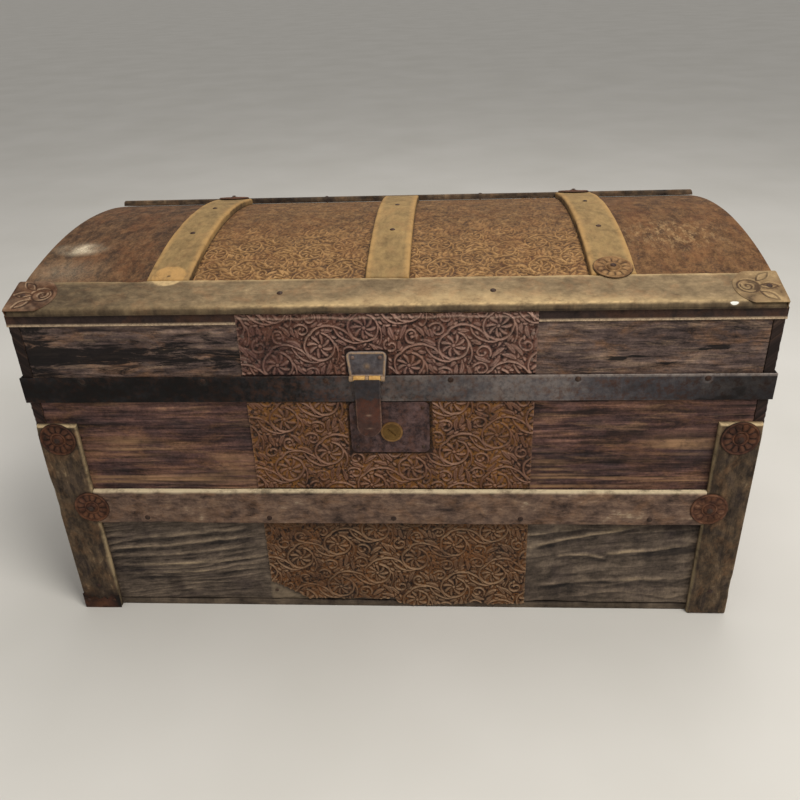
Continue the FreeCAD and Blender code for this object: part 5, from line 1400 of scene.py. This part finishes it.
BAND_EDGE = 0.6 * MM
BAND_NAIL_INSET = 69.0 * MM
TONGUE_HALF = 14.7 * MM
BLADE_HALF = 27.5 * MM / 2
BLADE_THICKNESS = 2.5 * MM
# Heights of the marks on the closed tongue. A painted highlight beside a dent also has how many times it is
# as wide as it is tall, and its strength.
TONGUE_DENTS = (283.0 * MM, 266.0 * MM)
TONGUE_HIGHLIGHTS = ((284.0 * MM, 2.6, 1.0), (267.5 * MM, 3.0, 0.55))
TONGUE_DIRT_FOOT = 294 * MM
TONGUE_RUST_TOP = 303 * MM
KNUCKLE_HALF = 1.9 * MM
KNUCKLE_GAP = 0.3 * MM


def band(along, up, thickness, place, seed, nails=()):
    """An iron strip: black at the left, grey in the middle, dark at the right, halos round its nails. The
    black and the dark right are painted shade and the grey a painted sheen, with a painted highlight along
    its top edge.
    """
    u = spaced(*along, 2.0 * MM, BAND_EDGE)
    v = spaced(*up, 1.4 * MM, BAND_EDGE)
    grid_u, grid_v = np.meshgrid(u, v, indexing="ij")
    edge = np.minimum(grid_v - up[0], up[1] - grid_v)
    bumps = 0.3 * MM * patchy(grid_u, grid_v, 14.0, 50.0, seed, 0.0, 1.0, -1.0, 0.0)
    height = thickness - rounded(edge, BAND_EDGE) + bumps
    # Painted light along the strip: rubbed lightens it towards the right as a painted reflection, grey is a
    # painted sheen, line a painted highlight, and the black patches, the shaded left and the shaded right end
    # are painted shade.
    rubbed = fade(grid_u + 0.1, 0.3) * patchy(grid_u, grid_v, 8.0, 20.0, seed + 1, 0.7, 0.6)
    black = patchy(grid_u, grid_v, 24.0, 45.0, seed + 2, 0.35, 1.5, 0.0, 0.92)
    shaded_right_end = 0.35 * fade(grid_u - 0.2, 0.1) + 0.45 * fade(grid_u - 0.29, 0.08)
    shaded_left = 0.92 * patchy(grid_u, grid_v, 70.0, 110.0, seed + 4, 0.9, 0.35)
    soil = most(shaded_left * fade(-0.03 - grid_u, 0.22), black * fade(grid_u - 0.16, 0.2), shaded_right_end)
    grey = bell(grid_u - 0.07, 0.11) * patchy(grid_u, grid_v, 30.0, 60.0, seed + 3, 0.75, 0.5)
    line = 0.95 * fade(grid_u - 0.1, 0.05) * fade(grid_v - up[1] + 2.6 * MM, 0.8 * MM)
    wear = 0.7 * unit(1 - edge / (1.2 * MM)) * (0.4 + 0.6 * fade(grid_u, 0.2)) * (1 - soil)
    wear = most(wear, 0.75 * grey, line)
    soil = soil * (1 - line)
    for at in nails:
        off = np.hypot(grid_u - at, grid_v - up[1] + 5 * MM)
        halo = bell(off - 4.4 * MM, 1.4 * MM) * (0.3 + 0.7 * fade(at + 0.1, 0.2))
        wear = np.maximum(wear, 0.5 * halo)
        soil = soil * (1 - 0.6 * halo)
    return slab(grid_u, grid_v, height, place, relief=rubbed, wear=wear, soil=soil)


def bands():
    nails = np.linspace(-HALF_WIDTH + BAND_NAIL_INSET, HALF_WIDTH - BAND_NAIL_INSET, 6)
    for word, seed, nailed in (("front", 501, nails), ("right", 508, ()), ("left", 506, ())):
        strip = band(*flat(f"lid_band_{word}", word), seed, nailed)
        dress(f"lid_band_{word}", [strip], [BAND_IRON], "lid")


class Hinge:
    """The hasp's pin: its middle, its axis, half its length, and the knuckles rolled round it."""

    def __init__(self):
        x, y, z = spans("hasp_pin")
        self.centre = (x[0] + x[1]) / 2
        self.y = (y[0] + y[1]) / 2
        self.z = (z[0] + z[1]) / 2
        self.half = (x[1] - x[0]) / 2
        self.bore = (z[1] - z[0]) / 2 + 0.02 * MM
        self.radius = self.y - spans("hasp_plate")[1][0]

    def knuckle(self, start, end):
        """A rolled knuckle between two places along the pin, from its middle."""
        x0 = self.centre + start
        x1 = self.centre + end
        ease = 0.5 * MM
        inner = self.radius - ease
        outline = [(x0, self.bore), (x0, inner), (x0 + ease, self.radius), (x1 - ease, self.radius),
                   (x1, inner), (x1, self.bore)]
        angles = np.linspace(0, FULL_TURN, 32, endpoint=False)
        rings = [[(x, self.y + r * math.cos(t), self.z + r * math.sin(t)) for t in angles]
                 for x, r in outline]
        return ring_loft(rings, hollow=True, wear=0.6)


def hasp_plate(hinge):
    x, y, z = spans("hasp_plate")
    foot = hinge.z + 1.4 * MM
    top = z[1]
    half_top = (x[1] - x[0]) / 2
    corner = 6.0 * MM
    v = np.linspace(foot, top, 44)
    half = hinge.half + (half_top - hinge.half) * unit((v - foot) / (top - corner - foot))
    half = half - corner + np.sqrt(np.maximum(corner ** 2 - np.clip(v - (top - corner), 0, corner) ** 2, 0))
    grid_v, grid_u = drawn(v, hinge.centre, half, np.linspace(-1, 1, 64))
    to_side = half[:, None] - np.abs(grid_u - hinge.centre)
    to_rim = least(to_side, top - grid_v, grid_v - foot + 2 * MM)
    rim = bell(to_rim - 1.7 * MM, 1.1 * MM)
    dimple = bell(np.hypot(grid_u - hinge.centre, grid_v - (foot + top) / 2 + 3 * MM), 3.0 * MM)
    height = 0.9 * MM + 1.0 * MM * rim + 0.6 * MM * dimple
    parts = [slab(grid_v, grid_u, height, upright(y[1], -1), relief=rim,
                  wear=unit(0.75 * rim + 0.4 * dimple))]
    outer = TONGUE_HALF + KNUCKLE_GAP
    for start, end in ((-hinge.half, -outer), (-KNUCKLE_HALF, KNUCKLE_HALF), (outer, hinge.half)):
        parts.append(hinge.knuckle(start, end))
    dress("hasp_plate", parts, [HASP_STEEL], "lid")


def hasp_tongue(hinge):
    """The blade with its round foot, two dents with painted highlights, a rusty lower part, and its two
    knuckles.
    """
    _, y, z = spans("hasp_tongue")
    tip = z[0]
    round_top = tip + BLADE_HALF
    shoulder = hinge.z - 20.0 * MM
    v = np.concatenate([tip + BLADE_HALF * np.linspace(0.002, 1, 26) ** 2,
                        np.linspace(round_top, hinge.z, 50)[1:]])
    foot = np.sqrt(np.maximum(BLADE_HALF ** 2 - (round_top - v) ** 2, 0))
    half = np.where(v < round_top, foot, BLADE_HALF)
    half = half + (TONGUE_HALF - BLADE_HALF) * unit((v - shoulder) / (hinge.z - 4 * MM - shoulder))
    share = np.linspace(-1, 1, 48)
    grid_v, grid_u = drawn(v, hinge.centre, half, share)
    side = grid_u - hinge.centre
    to_rim = np.minimum(half[:, None] * (1 - np.abs(share)), grid_v - tip)
    height = BLADE_THICKNESS - rounded(to_rim, 1.0 * MM)
    for at in TONGUE_DENTS:
        height = height - 0.8 * MM * bell(np.hypot(side / 2.2, grid_v - at), 1.8 * MM)
    height = np.clip(height, 0.4 * MM, BLADE_THICKNESS)
    rub = unit(1 - to_rim / (1.5 * MM))
    shine = 0.0
    for at, wide, strength in TONGUE_HIGHLIGHTS:
        shine = shine + strength * bell(np.hypot(side / wide, grid_v - at), 1.1 * MM)
    parts = [slab(grid_v, grid_u, height, upright(y[0] + BLADE_THICKNESS, -1),
                  wear=unit(0.5 * rub + 0.9 * shine), soil=0.3 * fade(grid_v - TONGUE_DIRT_FOOT, 14 * MM))]
    inner = KNUCKLE_HALF + KNUCKLE_GAP
    # The tongue's knuckles take the brass with a painted glint.
    for start, end in ((-TONGUE_HALF, -inner), (inner, TONGUE_HALF)):
        parts.append((*hinge.knuckle(start, end), 1))
    made = dress("hasp_tongue", parts, [TONGUE_IRON, BRIGHT_BRASS, TONGUE_STEEL], "hasp")
    for face in made.data.polygons:
        rust_line = TONGUE_RUST_TOP + 4 * MM * float(rough(face.center.x * 130.0, 0.5, 511))
        if face.material_index == 0 and face.center.z > rust_line:
            face.material_index = 2


def hasp():
    hinge = Hinge()
    hasp_plate(hinge)
    hasp_tongue(hinge)


# Leather handles

STRAP_THICKNESS = 5.0 * MM
STRAP_BOW_HALF = 84.0 * MM
STITCH_INSET = 4.0 * MM
STITCH_SPACING = 5.0 * MM


def strap(side):
    """A stitched strap, bowed out between its two ends."""
    x, y, z = spans("right_handle_strap")
    bow = x[1] - x[0] - STRAP_THICKNESS
    radius = (STRAP_BOW_HALF ** 2 + bow ** 2) / (2 * bow)
    middle = x[0] + bow - radius
    stations = np.linspace(y[0], y[1], 150)
    height = np.where(np.abs(stations) < STRAP_BOW_HALF,
                      middle + np.sqrt(np.maximum(radius ** 2 - stations ** 2, 0)) - x[0], 0.0)
    slope = np.gradient(height, stations)
    half = (z[1] - z[0]) / 2
    centre_z = (z[0] + z[1]) / 2
    turn = np.linspace(0, FULL_TURN, 40, endpoint=False)
    across = np.sign(np.cos(turn)) * np.abs(np.cos(turn)) ** 0.35
    depth = np.sign(np.sin(turn)) * np.abs(np.sin(turn)) ** 0.55
    groove = 0.4 * MM * bell(np.abs(across) * half - half + STITCH_INSET, 0.8 * MM)
    rings = []
    for s, h, m in zip(stations, height, slope):
        normal = np.array([1.0, -m]) / math.hypot(1, m)
        edge_wave = 0.5 * MM * noise(s * 60.0, 0.5, 601)
        crease = 0.35 * MM * noise(s * 130.0, 4.5, 603)
        reach = (STRAP_THICKNESS / 2 - 0.4 * MM) * depth + crease * (depth > 0.5) - groove * np.sign(depth)
        lift = np.clip(h + STRAP_THICKNESS / 2 + reach * normal[0], 0.1 * MM, None)
        rings.append(np.stack([side * (x[0] + lift), s + reach * normal[1],
                               centre_z + across * (half - 0.6 * MM + edge_wave)], -1))
    wear = np.clip(np.abs(across) - 0.8, 0, 0.2) * 3
    parts = [ring_loft(rings, wear=np.tile(wear, len(stations)))]
    for s in np.arange(-STRAP_BOW_HALF + 6 * MM, STRAP_BOW_HALF - 5 * MM, STITCH_SPACING):
        out = x[0] + np.interp(s, stations, height) + STRAP_THICKNESS - 0.45 * MM
        for edge in (-1, 1):
            at = centre_z + edge * (half - STITCH_INSET)
            parts.append(stitch(side, out, s, at, np.interp(s, stations, slope)))
    return parts


def stitch(side, x, y, z, slope):
    """One waxed thread stitch, a small bent bead along the strap."""
    share = np.linspace(-1, 1, 7)
    swell = np.sqrt(1 - (share * 0.97) ** 2)
    turn = np.linspace(0, FULL_TURN, 8, endpoint=False)
    length = 1.7 * MM
    rings = [[(side * (x + slope * s * length + 0.45 * MM * w * math.cos(t)), y + s * length,
               z + 0.5 * MM * w * math.sin(t)) for t in turn] for s, w in zip(share, swell)]
    return ring_loft(rings, wear=1.0)


def handles():
    for side, word in SIDES:
        dress(f"{word}_handle_strap", strap(side), [LEATHER], "box", "leather", 60.0)


# Frame pieces that show as they are, with their materials and the width of their soft edges in millimetres

SHOWN_AS_BUILT = {
    "dome_staves": (INNER_WOOD, 0.4), "box_nails": (SLAT_NAIL_IRON, 0.0), "box_tacks": (NAIL_IRON, 0.0),
    "lid_nails": (NAIL_IRON, 0.0), "lid_tacks": (TACK_IRON, 0.0), "lock_plate": (PLATE_IRON, 0.5),
    "lock_case": (PLATE_IRON, 0.2), "lock_bolt": (HASP_STEEL, 0.2), "keyhole_bezel": (RING_BRASS, 0.4),
    "key_plug": (BRASS, 0.3), "hinge_box_leaves": (BAND_IRON, 0.4), "hinge_lid_leaves": (BAND_IRON, 0.4),
    "hinge_pins": (BAND_IRON, 0.3), "left_handle_caps": (PLATE_IRON, 0.6),
    "right_handle_caps": (PLATE_IRON, 0.6), "hasp_pin": (HASP_STEEL, 0.2), "hasp_staple": (HASP_STEEL, 0.4),
}


def dress_frame():
    for node, (material, ease) in SHOWN_AS_BUILT.items():
        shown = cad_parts[node]
        for holder in shown.material_slots:
            holder.material = material
        if ease:
            bevel = shown.modifiers.new("soft_edges", "BEVEL")
            bevel.width = ease * MM
            bevel.segments = 2
            bevel.limit_method = "ANGLE"
            bevel.angle_limit = math.radians(35.0)


# Stage, light and camera

def stage():
    look = Look("pale_floor")
    cloud = look.cloud(look.place(), 3.0, 3.0, 0.5)
    colour = look.ramp(cloud, (0.3, (204, 203, 199)), (0.7, (212, 211, 208)))
    mesh = bpy.data.meshes.new("floor")
    reach = 90.0
    level = -0.2 * MM
    corners = [(x * reach, y * reach, level) for x, y in ((-1, -1), (1, -1), (1, 1), (-1, 1))]
    mesh.from_pydata(corners, [], [(0, 1, 2, 3)])
    mesh.materials.append(look.finish(colour, 0.6))
    floor = add_object("floor", mesh)


def lamp(name, at, aim, size, watts, colour):
    light = bpy.data.lights.new(name, "AREA")
    light.shape = "DISK"
    light.size = size
    light.energy = watts
    light.color = colour
    holder = add_object(name, light)
    holder.location = at
    holder.rotation_euler = (Vector(aim) - Vector(at)).to_track_quat("-Z", "Y").to_euler()


def lighting():
    centre = (0.0, 0.0, 0.25)
    lamp("key", (0.95, -1.15, 2.2), centre, 1.0, 40.0, (1.0, 0.95, 0.87))
    lamp("top", (0.2, 0.7, 2.3), centre, 1.6, 20.0, (1.0, 0.96, 0.9))
    world = bpy.data.worlds.new("studio")
    bpy.context.scene.world = world
    world.use_nodes = True
    back = world.node_tree.nodes["Background"]
    back.inputs["Color"].default_value = srgb(240, 236, 230)
    back.inputs["Strength"].default_value = 0.5


def camera():
    """The photograph's camera: its place, direction and tilt."""
    ahead = math.cos(CAMERA_PITCH)
    forward = Vector((math.sin(CAMERA_YAW) * ahead, math.cos(CAMERA_YAW) * ahead, -math.sin(CAMERA_PITCH)))
    level = Vector((math.cos(CAMERA_YAW), -math.sin(CAMERA_YAW), 0.0))
    upward = level.cross(forward)
    right = level * math.cos(CAMERA_ROLL) + upward * math.sin(CAMERA_ROLL)
    up = upward * math.cos(CAMERA_ROLL) - level * math.sin(CAMERA_ROLL)
    data = bpy.data.cameras.new("photo_camera")
    data.sensor_width = SENSOR_MM
    data.lens = FOCAL_PX * SENSOR_MM / PHOTO_WIDTH_PX
    holder = add_object("photo_camera", data)
    turn = Matrix((right, up, -forward)).transposed().to_4x4()
    holder.matrix_world = Matrix.Translation(CAMERA_AT) @ turn
    bpy.context.scene.camera = holder


front_boards()
other_boards()
wall_slats()
lid_slats()
front_tins()
dome_tins()
rosettes()
corner_caps()
batten_shoe()
bands()
hasp()
handles()
dress_frame()
stage()
lighting()
camera()
bpy.context.scene.view_settings.view_transform = "Standard"
